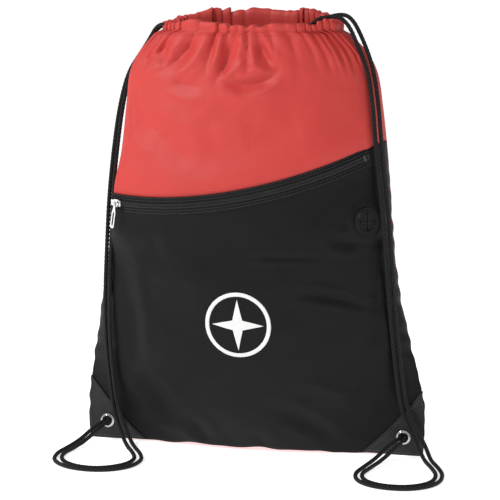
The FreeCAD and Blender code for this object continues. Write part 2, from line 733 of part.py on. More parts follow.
def make_pull():
    """The pull: a barrel eye round the crown's bar and a slotted tab below it."""
    body = new_body("zipper_pull")
    eye = new_sketch(body, "XZ_Plane")
    circle(eye, "0", "0", "sizes.pull_eye / 2")
    pad(body, eye, "sizes.pull_barrel", True)
    tab = new_sketch(body, "YZ_Plane")
    half = "sizes.pull_width / 2"
    end = "sizes.pull_length"
    outline(tab, [
        ("-1.2", "-1.4"), ("-1.3", "-5"), ("-(%s)" % half, "-9"), ("-(%s)" % half, "-(%s) + 1.4" % end),
        ("-(%s) + 1.2" % half, "-(%s)" % end), ("(%s) - 1.2" % half, "-(%s)" % end),
        (half, "-(%s) + 1.4" % end), (half, "-9"), ("1.3", "-5"), ("1.2", "-1.4")])
    pad(body, tab, "sizes.pull_thick", True)
    window = new_sketch(body, "YZ_Plane")
    slot = "sizes.pull_slot / 2"
    outline(window, [
        ("-(%s)" % slot, "-9.6"), ("-(%s)" % slot, "-(%s) + 3.2" % end), ("0", "-(%s) + 2.2" % end),
        (slot, "-(%s) + 3.2" % end), (slot, "-9.6"), ("0", "-8.2")])
    pocket(body, window, "4 * sizes.pull_thick")
    bar_hole = new_sketch(body, "XZ_Plane")
    circle(bar_hole, "0", "0", "sizes.pull_hole / 2")
    pocket(body, bar_hole, "4 * sizes.pull_barrel")
    hang = FreeCAD.Rotation(V(0, 1, 0), size("pull_lean")).multiply(
        FreeCAD.Rotation(V(1, 0, 0), size("pull_swivel")))
    rest = FreeCAD.Placement(V(size("crown_high") - size("crown_bar") / 2, 0, 0), hang)
    body.Placement = slider_place().multiply(rest)


# ---------------------------------------------------------------- the earphone port

def port_frame():
    """The port's frame: Z out of the pocket's face, X level, Y up."""
    over = 2 * size("fabric") + size("layer_gap") + 0.3
    high = size("port_high")
    lean = blended(4, high)
    turn = math.degrees(math.asin((size("port_x") - lean) / (blended(1, high) + over)))
    spot = surface_point(turn, high, over)
    along = surface_point(turn + 1.0, high, over) - surface_point(turn - 1.0, high, over)
    upward = surface_point(turn, high + 2.0, over) - surface_point(turn, high - 2.0, over)
    outward = along.cross(upward).normalize()
    level = V(0, 0, 1).cross(outward).normalize()
    steep = outward.cross(level).normalize()
    turned = FreeCAD.Rotation(level, steep, outward, "ZXY")
    return FreeCAD.Placement(spot, turned)


def make_port():
    """A rubber ring with a square window, and the four flaps between its slits."""
    ring = new_body("port_ring")
    sketch = new_sketch(ring, "XZ_Plane")
    rim, face = "sizes.port_outer / 2", "sizes.port_face / 2"
    thick, lip = "sizes.port_thick", "sizes.port_lip"
    outline(sketch, [
        ("0", "0"), (rim, "0"), (rim, "%s - 0.5" % thick), ("%s - 0.5" % rim, thick),
        ("(%s) + 0.7" % face, thick), (face, "(%s) + (%s)" % (thick, lip)),
        ("(%s) - 0.8" % face, "(%s) + (%s)" % (thick, lip)), ("(%s) - 1.5" % face, thick), ("0", thick)])
    revolve(ring, sketch, "360")
    window = new_sketch(ring, "XY_Plane")
    half = "sizes.port_window / 2"
    outline(window, box_corners("-(%s)" % half, "-(%s)" % half, "sizes.port_window", "sizes.port_window"))
    pocket(ring, window, "8 * sizes.port_thick")
    place = port_frame().multiply(FreeCAD.Placement(V(0, 0, 0), FreeCAD.Rotation(V(0, 0, 1), 45)))
    ring.Placement = place
    root = "(%s) - sizes.flap_gap" % half
    tip = "sizes.slit * 0.71"
    shoulder = "(%s) - sizes.flap_relief" % root
    half_root = "(%s) - (%s)" % (shoulder, tip)
    for i in range(4):
        flap = new_body("port_flap_%d" % (i + 1))
        sketch = new_sketch(flap, "XY_Plane", "sizes.port_thick - sizes.flap")
        outline(sketch, [(tip, "0"), (shoulder, "-(%s)" % half_root), (root, "-(%s)" % half_root),
                         (root, half_root), (shoulder, half_root)])
        pad(flap, sketch, "sizes.flap")
        quarter = FreeCAD.Placement(V(0, 0, 0), FreeCAD.Rotation(V(0, 0, 1), 90.0 * i))
        flap.Placement = place.multiply(quarter)


# ---------------------------------------------------------------- build, check, write

def report_axes():
    """Print the joint axes that the moving pieces turn about."""
    frame = zip_frame()
    axis = frame.Rotation.multVec(V(0, 0, 1))
    print("zip axis", [round(c, 5) for c in axis], "through", [round(c, 3) for c in frame.Base])
    slider = slider_place()
    hinge = slider.multVec(V(size("crown_high") - size("crown_bar") / 2, 0, 0))
    along = slider.Rotation.multVec(V(0, 1, 0))
    print("pull axis", [round(c, 5) for c in along], "through", [round(c, 3) for c in hinge])
    port = port_frame().multiply(FreeCAD.Placement(V(0, 0, 0), FreeCAD.Rotation(V(0, 0, 1), 45)))
    for i in range(4):
        quarter = FreeCAD.Placement(V(0, 0, 0), FreeCAD.Rotation(V(0, 0, 1), 90.0 * i))
        flap = port.multiply(quarter)
        root = flap.multVec(V(size("port_window") / 2 - size("flap_gap"), 0, size("port_thick")))
        side = flap.Rotation.multVec(V(0, 1, 0))
        print("flap %d axis" % (i + 1), [round(c, 5) for c in side], "through",
              [round(c, 3) for c in root])


def check_and_write():
    """Stop on any failed object or bad shape, then write one STEP file for each sub-part."""
    doc.recompute()
    for item in doc.Objects:
        if "Invalid" in item.State or "Error" in item.State:
            raise RuntimeError("%s failed: %s" % (item.Name, item.State))
    for item in pieces:
        shape = item.Shape
        if shape.isNull() or not shape.isValid() or not shape.Solids:
            raise RuntimeError("%s has a bad shape" % item.Label)
    os.makedirs("parts", exist_ok=True)
    for item in pieces:
        item.Shape.exportStep("parts/%s.step" % item.Label)
        box = item.Shape.BoundBox
        print("%-26s %d solid(s) %9.1f mm3  x %.1f..%.1f y %.1f..%.1f z %.1f..%.1f" % (
            item.Label, len(item.Shape.Solids), item.Shape.Volume,
            box.XMin, box.XMax, box.YMin, box.YMax, box.ZMin, box.ZMax))


def main():
    """Build the whole bag."""
    fill_sheet()
    make_panels()
    make_patches()
    make_mark()
    make_sleeves()
    make_cord_loops()
    make_free_cords()
    make_knots()
    make_eyelets()
    make_zip_strips()
    make_slider()
    make_pull()
    make_port()
    report_axes()
    check_and_write()


main()
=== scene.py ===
import math

import bmesh
import bpy
import numpy as np
from bpy.props import FloatProperty, FloatVectorProperty, IntProperty, PointerProperty
from mathutils import Matrix, Vector, noise


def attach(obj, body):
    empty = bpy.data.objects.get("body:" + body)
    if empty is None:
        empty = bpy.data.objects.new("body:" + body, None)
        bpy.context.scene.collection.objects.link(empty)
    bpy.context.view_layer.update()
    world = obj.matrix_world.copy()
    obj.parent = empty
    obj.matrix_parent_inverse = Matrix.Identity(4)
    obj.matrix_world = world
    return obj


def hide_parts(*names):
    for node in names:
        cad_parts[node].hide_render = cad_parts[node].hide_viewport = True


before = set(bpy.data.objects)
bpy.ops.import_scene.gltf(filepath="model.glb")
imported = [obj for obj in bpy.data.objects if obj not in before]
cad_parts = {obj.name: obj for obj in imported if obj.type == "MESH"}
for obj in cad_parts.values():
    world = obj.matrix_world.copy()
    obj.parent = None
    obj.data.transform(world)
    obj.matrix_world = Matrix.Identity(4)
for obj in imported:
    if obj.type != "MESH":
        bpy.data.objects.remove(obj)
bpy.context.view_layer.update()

bl_info = {
    "name": "Drawstring backpack",
    "version": (1, 0, 0),
    "blender": (4, 5, 0),
    "location": "View3D > Sidebar > Backpack",
    "description": "Makes a filled drawstring backpack with a zipped pocket around its packed frame",
    "category": "Add Mesh",
}

MM = 0.001
BODY = "bag"

CAMERA_SPOT = (0.4010, -1.7539, 0.4843)
CAMERA_AIM = (-0.0039, 0.0, 0.2018)
CAMERA_LENS = 130.8

# The body's cloth stands this far out from the shape that the stations give, and the cloth near the
# zip and the port keeps these gaps behind them. Patches lie this many cloth layers further out.
FIRST_LAYER = 0.8 * MM
BEHIND_TAPE, BEHIND_PORT = 0.15 * MM, 0.2 * MM
PATCH_LAYERS = 1.6
THREAD_ABOVE_PATCH = 0.55 * MM
# Grid columns of each side of the body, its lowest row's height and its length round, in metres.
BODY_COLUMNS = 200
BODY_FOOT = 0.003
BODY_GIRTH = 0.78
# How strongly a fold's depth shows in its valley and in the lips beside it.
VALLEY_GAIN, LIP_GAIN = 1.9, 0.75
# One turn of a yarn along the cord; threads and grid lines of the cloth, in radians for each metre.
BRAID_PITCH = 4.2 * MM
WEAVE_THREADS, GRID_LINES = 2600.0, 1300.0
THREAD_BLACK = (0.055, 0.055, 0.056)
COIL_BLACK = (0.028, 0.028, 0.029)
RUBBER_BLACK = (0.0025, 0.0025, 0.0025)

# How the filled bag swells, in metres: height, left edge, right edge, front depth, back depth,
# and how flat the front runs out towards the left and right edges.
STATIONS = np.array((
    (0.000, -0.1715, 0.1715, 0.017, 0.020, 5.0, 5.0),
    (0.025, -0.1728, 0.1728, 0.030, 0.033, 4.5, 4.5),
    (0.060, -0.1700, 0.1708, 0.043, 0.046, 2.6, 2.6),
    (0.105, -0.1630, 0.1603, 0.054, 0.058, 1.5, 1.4),
    (0.160, -0.1540, 0.1475, 0.062, 0.068, 1.0, 1.0),
    (0.205, -0.1458, 0.1410, 0.066, 0.072, 0.80, 0.88),
    (0.245, -0.1385, 0.1375, 0.067, 0.073, 0.52, 0.85),
    (0.300, -0.1325, 0.1330, 0.064, 0.070, 0.70, 0.85),
    (0.350, -0.1285, 0.1275, 0.056, 0.061, 0.90, 0.90),
    (0.380, -0.1250, 0.1225, 0.049, 0.053, 0.95, 0.95),
    (0.400, -0.1150, 0.1125, 0.043, 0.046, 1.0, 1.0),
    (0.4175, -0.1000, 0.0960, 0.0385, 0.041, 1.0, 1.0),
))
# Which column of a station holds the depth of each side.
FRONT_DEPTH, BACK_DEPTH = 3, 4
PANEL_TOP = 0.4175
SEAM = math.pi / 2

# The zip's own tilted axis and line, as in the frame.
ZIP_AXIS_POINT = Vector((-0.027, 0.146, 0.365))
ZIP_RADIUS, ZIP_LIE = 0.2445, math.radians(23.0)
ZIP_TURN = (Matrix.Rotation(math.radians(-10.6), 3, "Y") @ Matrix.Rotation(math.radians(25.7), 3, "X"))
ZIP_START, ZIP_END = -31.0, 33.4
TAPE = 0.7 * MM

# The eyelets' distance from the middle and height; their front face's place is in millimetres, as is
# the profile of their rings.
EYELET_X, EYELET_Z = 0.154, 0.019
EYELET_FACE = -4.9
# The printed mark's middle as (across, up), and how thick the ink lies.
MARK_SPOT, INK = (-0.002, 0.137), 0.12 * MM

# Folds of the red front, in millimetres: start and end as (across, up), then how far the fold bows to its
# left, its depth (a ridge is negative) and its width.
FRONT_FOLDS = (
    ((-15, 420), (-25, 375), 4, 3.5, 5),
    ((15, 420), (30, 385), -4, 3.5, 5),
    ((-20, 375), (35, 385), -10, 3, 5.5),
    ((0, 425), (0, 405), 0, -4, 7),
    ((-20, 375), (5, 395), 0, -2, 5),
    ((5, 395), (25, 380), 0, -2, 4.5),
    ((-50, 420), (-80, 385), 5, 3, 6),
    ((-80, 385), (-75, 410), 6, 2.5, 5),
    ((-75, 415), (-110, 390), 4, 2.5, 5.5),
    ((65, 425), (105, 390), 5, 3, 5),
    ((105, 390), (90, 415), -8, 2.5, 4.5),
    ((35, 420), (50, 410), 4, 2.5, 5),
    ((-70, 375), (-40, 370), -4, 1.5, 6),
    ((-110, 335), (-45, 285), 6, 1.5, 11),
    ((50, 320), (100, 345), -2, -1, 12),
    ((85, 300), (120, 335), 3, 1.5, 8),
    ((-125, 370), (-110, 325), 3, 1.5, 8),
)
# Folds of the pocket, in the same way.
POCKET_FOLDS = (
    ((90, 225), (115, 220), -3, 1.5, 5),
    ((60, 170), (135, 150), 4, 1.5, 4),
    ((10, 205), (80, 205), 1, 0.7, 2.5),
    ((-125, 195), (-120, 75), 4, 2, 9),
    ((-120, 75), (-80, 35), 3, 2, 9),
    ((130, 205), (120, 95), 4, 2, 8),
    ((120, 95), (100, 50), 3, 2, 9),
    ((30, 50), (90, 10), 4, 2, 7),
    ((60, 80), (105, 60), 3, -1.5, 9),
    ((-90, 235), (-90, 205), 4, 1, 7),
    ((-60, 30), (-45, 5), 2, 1.5, 7),
    ((10, 25), (15, 0), 1, 1, 7),
    ((-20, 200), (-95, 165), 5, -1, 16),
    ((135, 235), (125, 210), 2, 1.5, 5),
)

# The drawcords' routes: from the sleeve, down the side, round on the floor, up through the eyelet.
ROUTES = {
    "right_cord_front": (
        (73.0, -16.8, 434.0), (85.0, -12.5, 436.5), (96.5, -12.5, 428.0), (105.5, -16.0, 409.5),
        (117.0, -21.0, 385.0), (123.5, -27.0, 352.0), (128.0, -35.0, 312.0), (134.0, -35.0, 262.0),
        (138.5, -33.0, 210.0), (141.8, -29.0, 158.0), (146.3, -23.5, 108.0), (150.0, -18.0, 72.0),
        (154.0, -14.0, 46.0), (162.0, -11.5, 27.5), (171.0, -14.5, 11.0), (178.5, -27.0, 2.2),
        (188.5, -50.0, 2.2), (197.0, -76.0, 2.2), (194.5, -103.0, 2.2), (177.0, -120.5, 2.2),
        (152.0, -122.0, 2.2), (132.5, -109.5, 2.2), (125.0, -87.0, 2.2), (130.0, -64.0, 2.2),
        (138.5, -44.0, 5.0), (148.5, -28.0, 13.0), (155.3, -16.0, 18.6), (156.3, -4.5, 19.0),
        (156.3, 6.0, 19.0),
    ),
    "right_cord_back": (
        (73.0, 16.8, 434.0), (85.0, 11.5, 437.5), (98.5, -1.0, 433.0), (110.5, -9.5, 413.0),
        (121.8, -17.0, 387.0), (128.5, -24.0, 353.0), (133.0, -32.0, 313.0), (139.0, -32.5, 263.0),
        (143.5, -30.5, 211.0), (146.8, -27.0, 159.0), (151.3, -22.0, 109.0), (155.0, -17.0, 74.0),
        (159.2, -13.5, 49.0), (168.0, -11.5, 30.0), (177.5, -13.5, 13.5), (184.5, -25.0, 2.2),
        (194.0, -46.0, 2.2), (203.0, -74.0, 2.2), (201.5, -105.0, 2.2), (181.0, -127.0, 2.2),
        (150.5, -128.5, 2.2), (127.0, -114.0, 2.2), (118.5, -88.0, 2.2), (123.5, -61.5, 2.2),
        (132.0, -40.0, 5.5), (142.5, -22.5, 15.0), (150.3, -13.0, 19.0), (151.7, -4.5, 19.0),
        (151.7, 6.0, 19.0),
    ),
    "left_cord_front": (
        (-75.0, -16.8, 424.5), (-87.0, -11.0, 427.0), (-98.5, -2.0, 424.5), (-107.5, 4.5, 412.0),
        (-117.0, 8.0, 399.0), (-129.0, 8.0, 380.0), (-135.0, -0.5, 346.0), (-138.5, -8.5, 306.0),
        (-141.0, -18.5, 258.0), (-139.7, -31.0, 208.0), (-141.0, -34.5, 158.0), (-143.0, -29.0, 112.0),
        (-142.5, -21.5, 76.0), (-141.0, -16.5, 46.0), (-135.3, -15.5, 25.0), (-126.3, -22.0, 8.5),
        (-116.5, -37.0, 2.2), (-103.0, -60.0, 2.2), (-92.5, -87.0, 2.2), (-99.0, -115.0, 2.2),
        (-123.5, -131.5, 2.2), (-155.0, -128.0, 2.2), (-178.0, -108.0, 2.2), (-184.0, -80.0, 2.2),
        (-180.0, -55.0, 2.2), (-174.0, -35.0, 5.0), (-165.5, -21.0, 13.5), (-157.5, -14.0, 18.8),
        (-156.3, -4.5, 19.0), (-156.3, 6.0, 19.0),
    ),
    "left_cord_back": (
        (-75.0, 16.8, 424.5), (-88.0, 13.5, 427.5), (-100.5, 10.0, 423.0), (-111.0, 12.5, 409.0),
        (-121.5, 14.0, 395.0), (-133.5, 12.5, 376.5), (-139.5, 2.5, 344.0), (-143.3, -5.5, 305.0),
        (-146.0, -15.5, 257.0), (-145.0, -28.0, 208.0), (-146.3, -32.0, 159.0), (-148.0, -26.5, 113.0),
        (-147.5, -19.0, 77.0), (-146.0, -14.5, 49.0), (-143.6, -12.5, 29.0), (-137.0, -15.5, 12.5),
        (-124.5, -36.0, 2.2), (-110.5, -60.0, 2.2), (-100.5, -84.5, 2.2), (-106.0, -108.5, 2.2),
        (-127.0, -124.5, 2.2), (-151.5, -121.0, 2.2), (-171.5, -103.0, 2.2), (-177.5, -79.0, 2.2),
        (-173.5, -58.0, 2.2), (-167.0, -39.0, 5.5), (-158.0, -24.0, 14.5), (-152.5, -14.0, 19.3),
        (-151.7, -4.5, 19.0), (-151.7, 6.0, 19.0),
    ),
}
# The sleeve's line round the mouth, in millimetres: half width, half depth, its corner and its lean.
MOUTH_WIDE, MOUTH_DEEP, MOUTH_CORNER, MOUTH_LEAN = 84.0, 33.0, (74.0, 16.8), -1.0
# The sleeve's section, outside to inside: share of the rise to the rim, way out from the cord's line in
# millimetres, and how strongly it gathers.
SLEEVE_PATH = (
    (0.12, 2.4, 0.3), (0.22, 2.6, 0.5), (0.34, 3.2, 0.8), (0.48, 3.7, 1.0), (0.62, 3.8, 1.0),
    (0.76, 3.5, 1.1), (0.88, 2.8, 1.2), (0.96, 1.6, 1.3), (1.00, 0.2, 1.3), (0.98, -1.4, 1.2),
    (0.90, -2.8, 1.0), (0.74, -3.6, 0.9), (0.50, -3.7, 0.8), (0.20, -3.2, 0.8), (-0.3, -3.4, 0.9),
    (-1.0, -4.2, 0.8), (-2.0, -5.2, 0.5), (-3.4, -6.4, 0.3),
)
# The rim: the back lip's lowest height and how far it arches, then the top, which falls beyond its half.
BACK_LIP, BACK_ARCH = 0.4325, 0.0080
RIM_TOP, RIM_HALF, RIM_FALL = 0.4400, 0.058, 0.42


# ---------------------------------------------------------------- sizes and colours a user may change

class BackpackSizes(bpy.types.PropertyGroup):
    cord: FloatProperty(name="Cord", description="Thickness of the drawcords",
                        default=0.0042, unit="LENGTH", precision=4)
    fabric: FloatProperty(name="Fabric step", description="How far each cloth layer lies over the last",
                          default=0.0011, unit="LENGTH", precision=4)
    pleats: IntProperty(name="Pleats", description="Number of gathers round the mouth", default=46, min=4)
    pleat_depth: FloatProperty(name="Pleat depth", description="Depth of the gathers at the mouth's rim",
                               default=0.0042, unit="LENGTH", precision=4)
    stitch: FloatProperty(name="Stitch", description="Length of one stitch", default=0.0024,
                          unit="LENGTH", precision=4)
    tooth_pitch: FloatProperty(name="Tooth pitch", description="Distance between two zip teeth",
                               default=0.0015, unit="LENGTH", precision=4)
    mark_radius: FloatProperty(name="Mark radius", description="Radius of the printed ring",
                               default=0.033, unit="LENGTH", precision=4)


class BackpackColours(bpy.types.PropertyGroup):
    red: FloatVectorProperty(name="Body cloth", description="Colour of the body cloth", subtype="COLOR",
                             size=3, default=(0.56, 0.042, 0.035))
    black: FloatVectorProperty(name="Pocket cloth", description="Colour of the pocket cloth",
                               subtype="COLOR", size=3, default=(0.0036, 0.0036, 0.0036))
    patch: FloatVectorProperty(name="Patches", description="Colour of the corner patches",
                               subtype="COLOR", size=3, default=(0.0090, 0.0090, 0.0090))
    cord: FloatVectorProperty(name="Cords", description="Colour of the drawcords", subtype="COLOR",
                              size=3, default=(0.0028, 0.0028, 0.0029))
    print_white: FloatVectorProperty(name="Print", description="Colour of the printed mark",
                                     subtype="COLOR", size=3, default=(0.86, 0.86, 0.85))
    metal: FloatVectorProperty(name="Metal", description="Colour of eyelets, slider and pull",
                               subtype="COLOR", size=3, default=(0.80, 0.80, 0.80))


def sizes():
    return bpy.context.scene.backpack_sizes


def colours():
    return bpy.context.scene.backpack_colours


# ---------------------------------------------------------------- mesh helpers

def add_object(name, data):
    """Put new data in the scene as an object at the origin."""
    item = bpy.data.objects.new(name, data)
    bpy.context.scene.collection.objects.link(item)
    return item


def smooth_mesh(name, points, faces, uv=None):
    """A smooth-shaded mesh object; uv gives one pair for each point."""
    mesh = bpy.data.meshes.new(name)
    mesh.from_pydata([tuple(p) for p in points], [], faces)
    mesh.update()
    if uv is not None:
        layer = mesh.uv_layers.new(name="UVMap")
        corners = np.empty(len(mesh.loops), dtype=np.int32)
        mesh.loops.foreach_get("vertex_index", corners)
        layer.data.foreach_set("uv", np.asarray(uv, dtype=np.float32)[corners].ravel())
    mesh.polygons.foreach_set("use_smooth", [True] * len(mesh.polygons))
    return add_object(name, mesh)


def grid_faces(rows, columns, closed=False, flip=False):
    """Quads of a grid of points, row after row."""
    faces = []
    for r in range(rows - 1):
        for c in range(columns if closed else columns - 1):
            d = (c + 1) % columns
            face = (r * columns + c, r * columns + d, (r + 1) * columns + d, (r + 1) * columns + c)
            faces.append(face[::-1] if flip else face)
    return faces


def place(piece, material, nodes=()):
    """Give a piece its material and slot, let it ride on the bag and stand for its nodes."""
    if not piece.data.polygons:
        raise RuntimeError(piece.name + " has no faces")
    piece.data.materials.clear()
    piece.data.materials.append(material)
    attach(piece, BODY)
    if nodes:
        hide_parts(*nodes)
    return piece


def apply_modifiers(piece):
    """Turn a piece's modifiers into a plain mesh."""
    graph = bpy.context.evaluated_depsgraph_get()
    graph.update()
    made = bpy.data.meshes.new_from_object(piece.evaluated_get(graph), depsgraph=graph)
    piece.modifiers.clear()
    old = piece.data
    piece.data = made
    made.name = old.name
    return piece


# ---------------------------------------------------------------- the bag's surface

def shape_at(z):
    """Every station column at the given heights, on smooth curves through the stations."""
    z = np.asarray(z, dtype=float)
    heights = STATIONS[:, 0]
    last = len(heights) - 1
    i = np.clip(np.searchsorted(heights, z, side="right") - 1, 0, last - 1)
    before, after = np.maximum(i - 1, 0), np.minimum(i + 2, last)
    low, high = STATIONS[i], STATIONS[i + 1]
    span = (high[..., 0] - low[..., 0])[..., None]
    slope_low = (high - STATIONS[before]) / (high[..., :1] - STATIONS[before][..., :1])
    slope_high = (STATIONS[after] - low) / (STATIONS[after][..., :1] - low[..., :1])
    t = ((z - low[..., 0]) / span[..., 0])[..., None]
    t = np.clip(t, 0.0, 1.0)
    value = ((2 * t ** 3 - 3 * t ** 2 + 1) * low + (t ** 3 - 2 * t ** 2 + t) * span * slope_low
             + (3 * t ** 2 - 2 * t ** 3) * high + (t ** 3 - t ** 2) * span * slope_high)
    return np.moveaxis(value, -1, 0)


def smoothstep(value, low, high):
    t = np.clip((value - low) / (high - low), 0.0, 1.0)
    return t * t * (3.0 - 2.0 * t)


def zip_point(angle, out, along):
    """A point of the zip: out of the tape's face, and along up the tape."""
    reach = ZIP_RADIUS + out * math.cos(ZIP_LIE) - along * math.sin(ZIP_LIE)
    up = out * math.sin(ZIP_LIE) + along * math.cos(ZIP_LIE)
    turn = math.radians(angle - 90.0)
    return ZIP_AXIS_POINT + ZIP_TURN @ Vector((reach * math.cos(turn), reach * math.sin(turn), up))


ZIP_ANGLES = np.linspace(ZIP_START - 1.5, ZIP_END + 2.5, 80)
ZIP_BACK = np.array([zip_point(a, -TAPE, 0.0) for a in ZIP_ANGLES])
ZIP_UP = np.array([zip_point(a, -TAPE, 0.01) for a in ZIP_ANGLES]) - ZIP_BACK
ZIP_SLOPE = ZIP_UP[:, 1] / ZIP_UP[:, 2]


def zip_height(x):
    return np.interp(x, ZIP_BACK[:, 0], ZIP_BACK[:, 2])


def zip_lift(x, y, z, left, right, behind):
    """Bring the front out to the back of the zip's tape near its line."""
    line_y = np.interp(x, ZIP_BACK[:, 0], ZIP_BACK[:, 1])
    slope = np.interp(x, ZIP_BACK[:, 0], ZIP_SLOPE)
    off = z - zip_height(x)
    target = line_y + slope * np.clip(off, -0.02, 0.02) + behind
    beyond = np.maximum(np.abs(off) - 0.010, 0.0)
    weight = np.exp(-(beyond / 0.026) ** 2)
    weight *= smoothstep(x - left, 0.0002, 0.0042) * smoothstep(right - x, 0.0, 0.012)
    return y + weight * (target - y)


def pucker(across, z):
    """How far the side seams wander in and out, in metres."""
    wave = np.sin(z * 210.0 + 1.0) * np.sin(z * 67.0 + across) + 0.5 * np.sin(z * 390.0)
    low_left = np.where(across < 0.0, smoothstep(0.17 - z, 0.0, 0.04), 1.0)
    return (0.7 * MM * wave * np.abs(across) ** 6 * low_left * smoothstep(0.30 - z, 0.0, 0.05)
            * smoothstep(z, 0.0, 0.03))


def back_plane(node):
    """The middle of a flat round node's back face and the way its front looks."""
    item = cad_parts[node]
    spots = np.array([item.matrix_world @ v.co for v in item.data.vertices])
    middle = (spots.min(axis=0) + spots.max(axis=0)) / 2
    way = np.linalg.svd(spots - spots.mean(axis=0), full_matrices=False)[2][-1]
    way = -way if way[1] > 0.0 else way
    reach = (spots - middle) @ way
    rim = np.linalg.norm((spots - middle) - np.outer(reach, way), axis=1)
    back = reach[rim > 0.8 * rim.max()].min()
    return Vector(middle + way * back), Vector(way)


PORT_BACK, PORT_OUT = back_plane("port_ring")


def port_lift(x, y, z, behind):
    """Lay the cloth flat behind the rubber port."""
    plane = PORT_BACK.y - (PORT_OUT.x * (x - PORT_BACK.x) + PORT_OUT.z * (z - PORT_BACK.z)) / PORT_OUT.y
    away = np.sqrt(((x - PORT_BACK.x) / 0.80) ** 2 + (z - PORT_BACK.z) ** 2)
    weight = 1.0 - smoothstep(away, 0.0140, 0.0240)
    return y + weight * (plane + behind - y)


def fold_line(start, end, bow):
    """Points along a fold that bows sideways between its ends, in metres."""
    start, end = np.array(start) * MM, np.array(end) * MM
    run = end - start
    side = np.array((-run[1], run[0])) / np.linalg.norm(run)
    steps = np.linspace(0.0, 1.0, 7)[:, None]
    return start + steps * run + 4.0 * steps * (1.0 - steps) * bow * MM * side


def fold_depth(x, z, folds):
    """How far the folds push the cloth in: sharp valleys between raised lips, in metres."""
    valley, ridge = np.zeros_like(x), np.zeros_like(x)
    for start, end, bow, depth, width in folds:
        line = fold_line(start, end, bow)
        near, along = np.full_like(x, 1e9), np.zeros_like(x)
        for i, ((ax, az), (bx, bz)) in enumerate(zip(line[:-1], line[1:])):
            dx, dz = bx - ax, bz - az
            t = np.clip(((x - ax) * dx + (z - az) * dz) / (dx * dx + dz * dz), 0.0, 1.0)
            away = np.hypot(x - ax - t * dx, z - az - t * dz)
            along = np.where(away < near, (i + t) / (len(line) - 1), along)
            near = np.minimum(near, away)
        ratio = near / (width * MM)
        fade = 0.25 + 0.75 * smoothstep(np.minimum(along, 1.0 - along), 0.0, 0.3)
        sharp = VALLEY_GAIN * depth * MM * fade * np.exp(-ratio ** 1.25)
        lip = -LIP_GAIN * depth * MM * fade * np.exp(-((ratio - 2.0) / 0.9) ** 2)
        valley, ridge = np.maximum(valley, sharp), np.minimum(ridge, np.minimum(sharp, lip))
    return valley + ridge


def ripple(x, z, seed, scale, detail=3):
    """Soft random swells of the cloth, between about -1 and 1."""
    flat_x, flat_z = np.ravel(x), np.ravel(z)
    values = [noise.fractal(Vector((a * scale, seed, b * scale)), 1.0, 2.0, detail)
              for a, b in zip(flat_x, flat_z)]
    return np.reshape(np.array(values), np.shape(x))


def edge_fade(x, left, right):
    return smoothstep(x - left, 0.0, 0.020) * smoothstep(right - x, 0.0, 0.020)


def smooth_side(turn, z, proud, side, least_flat=0.0):
    """Places across and the depth of a side without its folds, then the bag's left and right edges."""
    turn, z = np.broadcast_arrays(np.asarray(turn, float), np.asarray(z, float))
    station = shape_at(z)
    left, right = station[1], station[2]
    centre, half = (left + right) / 2, (right - left) / 2
    across = np.sin(turn)
    x = centre + (half + proud) * across + pucker(across, z)
    mix = smoothstep(across, -0.9, 0.9)
    flat = np.maximum(station[5] * (1.0 - mix) + station[6] * mix, least_flat)
    depth = station[side] * np.maximum(np.cos(turn), 0.0) ** flat
    return x, z, depth, left, right


def front_surface(turn, z, proud, pocket):
    """Points of the front, standing proud of its shape; all layers share every fold."""
    x, z, depth, left, right = smooth_side(turn, z, proud, FRONT_DEPTH)
    fade = edge_fade(x, left, right)
    above = smoothstep(z - zip_height(x), -0.010, 0.010)
    above = above * (1.0 - 0.65 * smoothstep(z, 0.402, 0.414))
    below = (z < zip_height(x) + 0.010) * (1.0 - above)
    push = above * fold_depth(x, z, FRONT_FOLDS) + below * fold_depth(x, z, POCKET_FOLDS)
    swell = ripple(x, z, 7.7, 9.0) * 3.0 * MM + ripple(x, z, 1.3, 30.0) * 1.1 * MM
    y = -(depth + proud) + fade * (push + swell)
    under = 0.0 if pocket else sizes().fabric
    y = zip_lift(x, y, z, left, right, BEHIND_TAPE + under)
    y = port_lift(x, y, z, BEHIND_PORT + under)
    return x, y, z


def back_surface(turn, z, proud):
    """Points of the back."""
    x, z, depth, left, right = smooth_side(turn, z, proud, BACK_DEPTH, 0.75)
    fade = edge_fade(x, left, right)
    swell = ripple(x, z, 21.0, 9.0) * 3.5 * MM + ripple(x, z, 5.5, 30.0) * 0.7 * MM
    return x, depth + proud + fade * swell, z


def across_at(turn, z, proud):
    """The place across of front points, before the side seams pucker."""
    _, left, right, *_ = shape_at(z)
    return (left + right) / 2 + ((right - left) / 2 + proud) * np.sin(turn)


def turn_at(x, z, proud):
    """The turn that puts a front point at a given place across."""
    _, left, right, *_ = shape_at(z)
    half = (right - left) / 2 + proud
    return np.arcsin(np.clip((x - (left + right) / 2) / half, -1.0, 1.0))


# The front lip: its level, then the peaks and dips on it as (across, height, width), all in millimetres.
LIP_LEVEL = 428.5
LIP_BUMPS = ((-55, 4, 12), (-15, -2, 6), (0, -4, 5), (15, -4, 5), (65, -2, 5), (75, 5, 6))


def lip_height(x):
    """The front lip's height at places across."""
    level = np.full_like(x, LIP_LEVEL * MM)
    for across, height, width in LIP_BUMPS:
        level += height * MM * np.exp(-((x - across * MM) / (width * MM)) ** 2)
    return level


def foot_lift(x):
    """The wavy bottom edge: how far it stands off the floor."""
    middle = 3.2 * MM * np.clip(1.0 - (x / 0.150) ** 2, 0.0, 1.0)
    waves = 0.7 * MM * np.sin(x * 95.0 + 0.6) + 0.5 * MM * np.sin(x * 173.0)
    dip = 2.6 * MM * np.exp(-((x - 0.083) / 0.010) ** 2)
    return np.maximum(middle + waves * smoothstep(0.150 - np.abs(x), 0.0, 0.03) - dip, 0.0)


# ---------------------------------------------------------------- materials

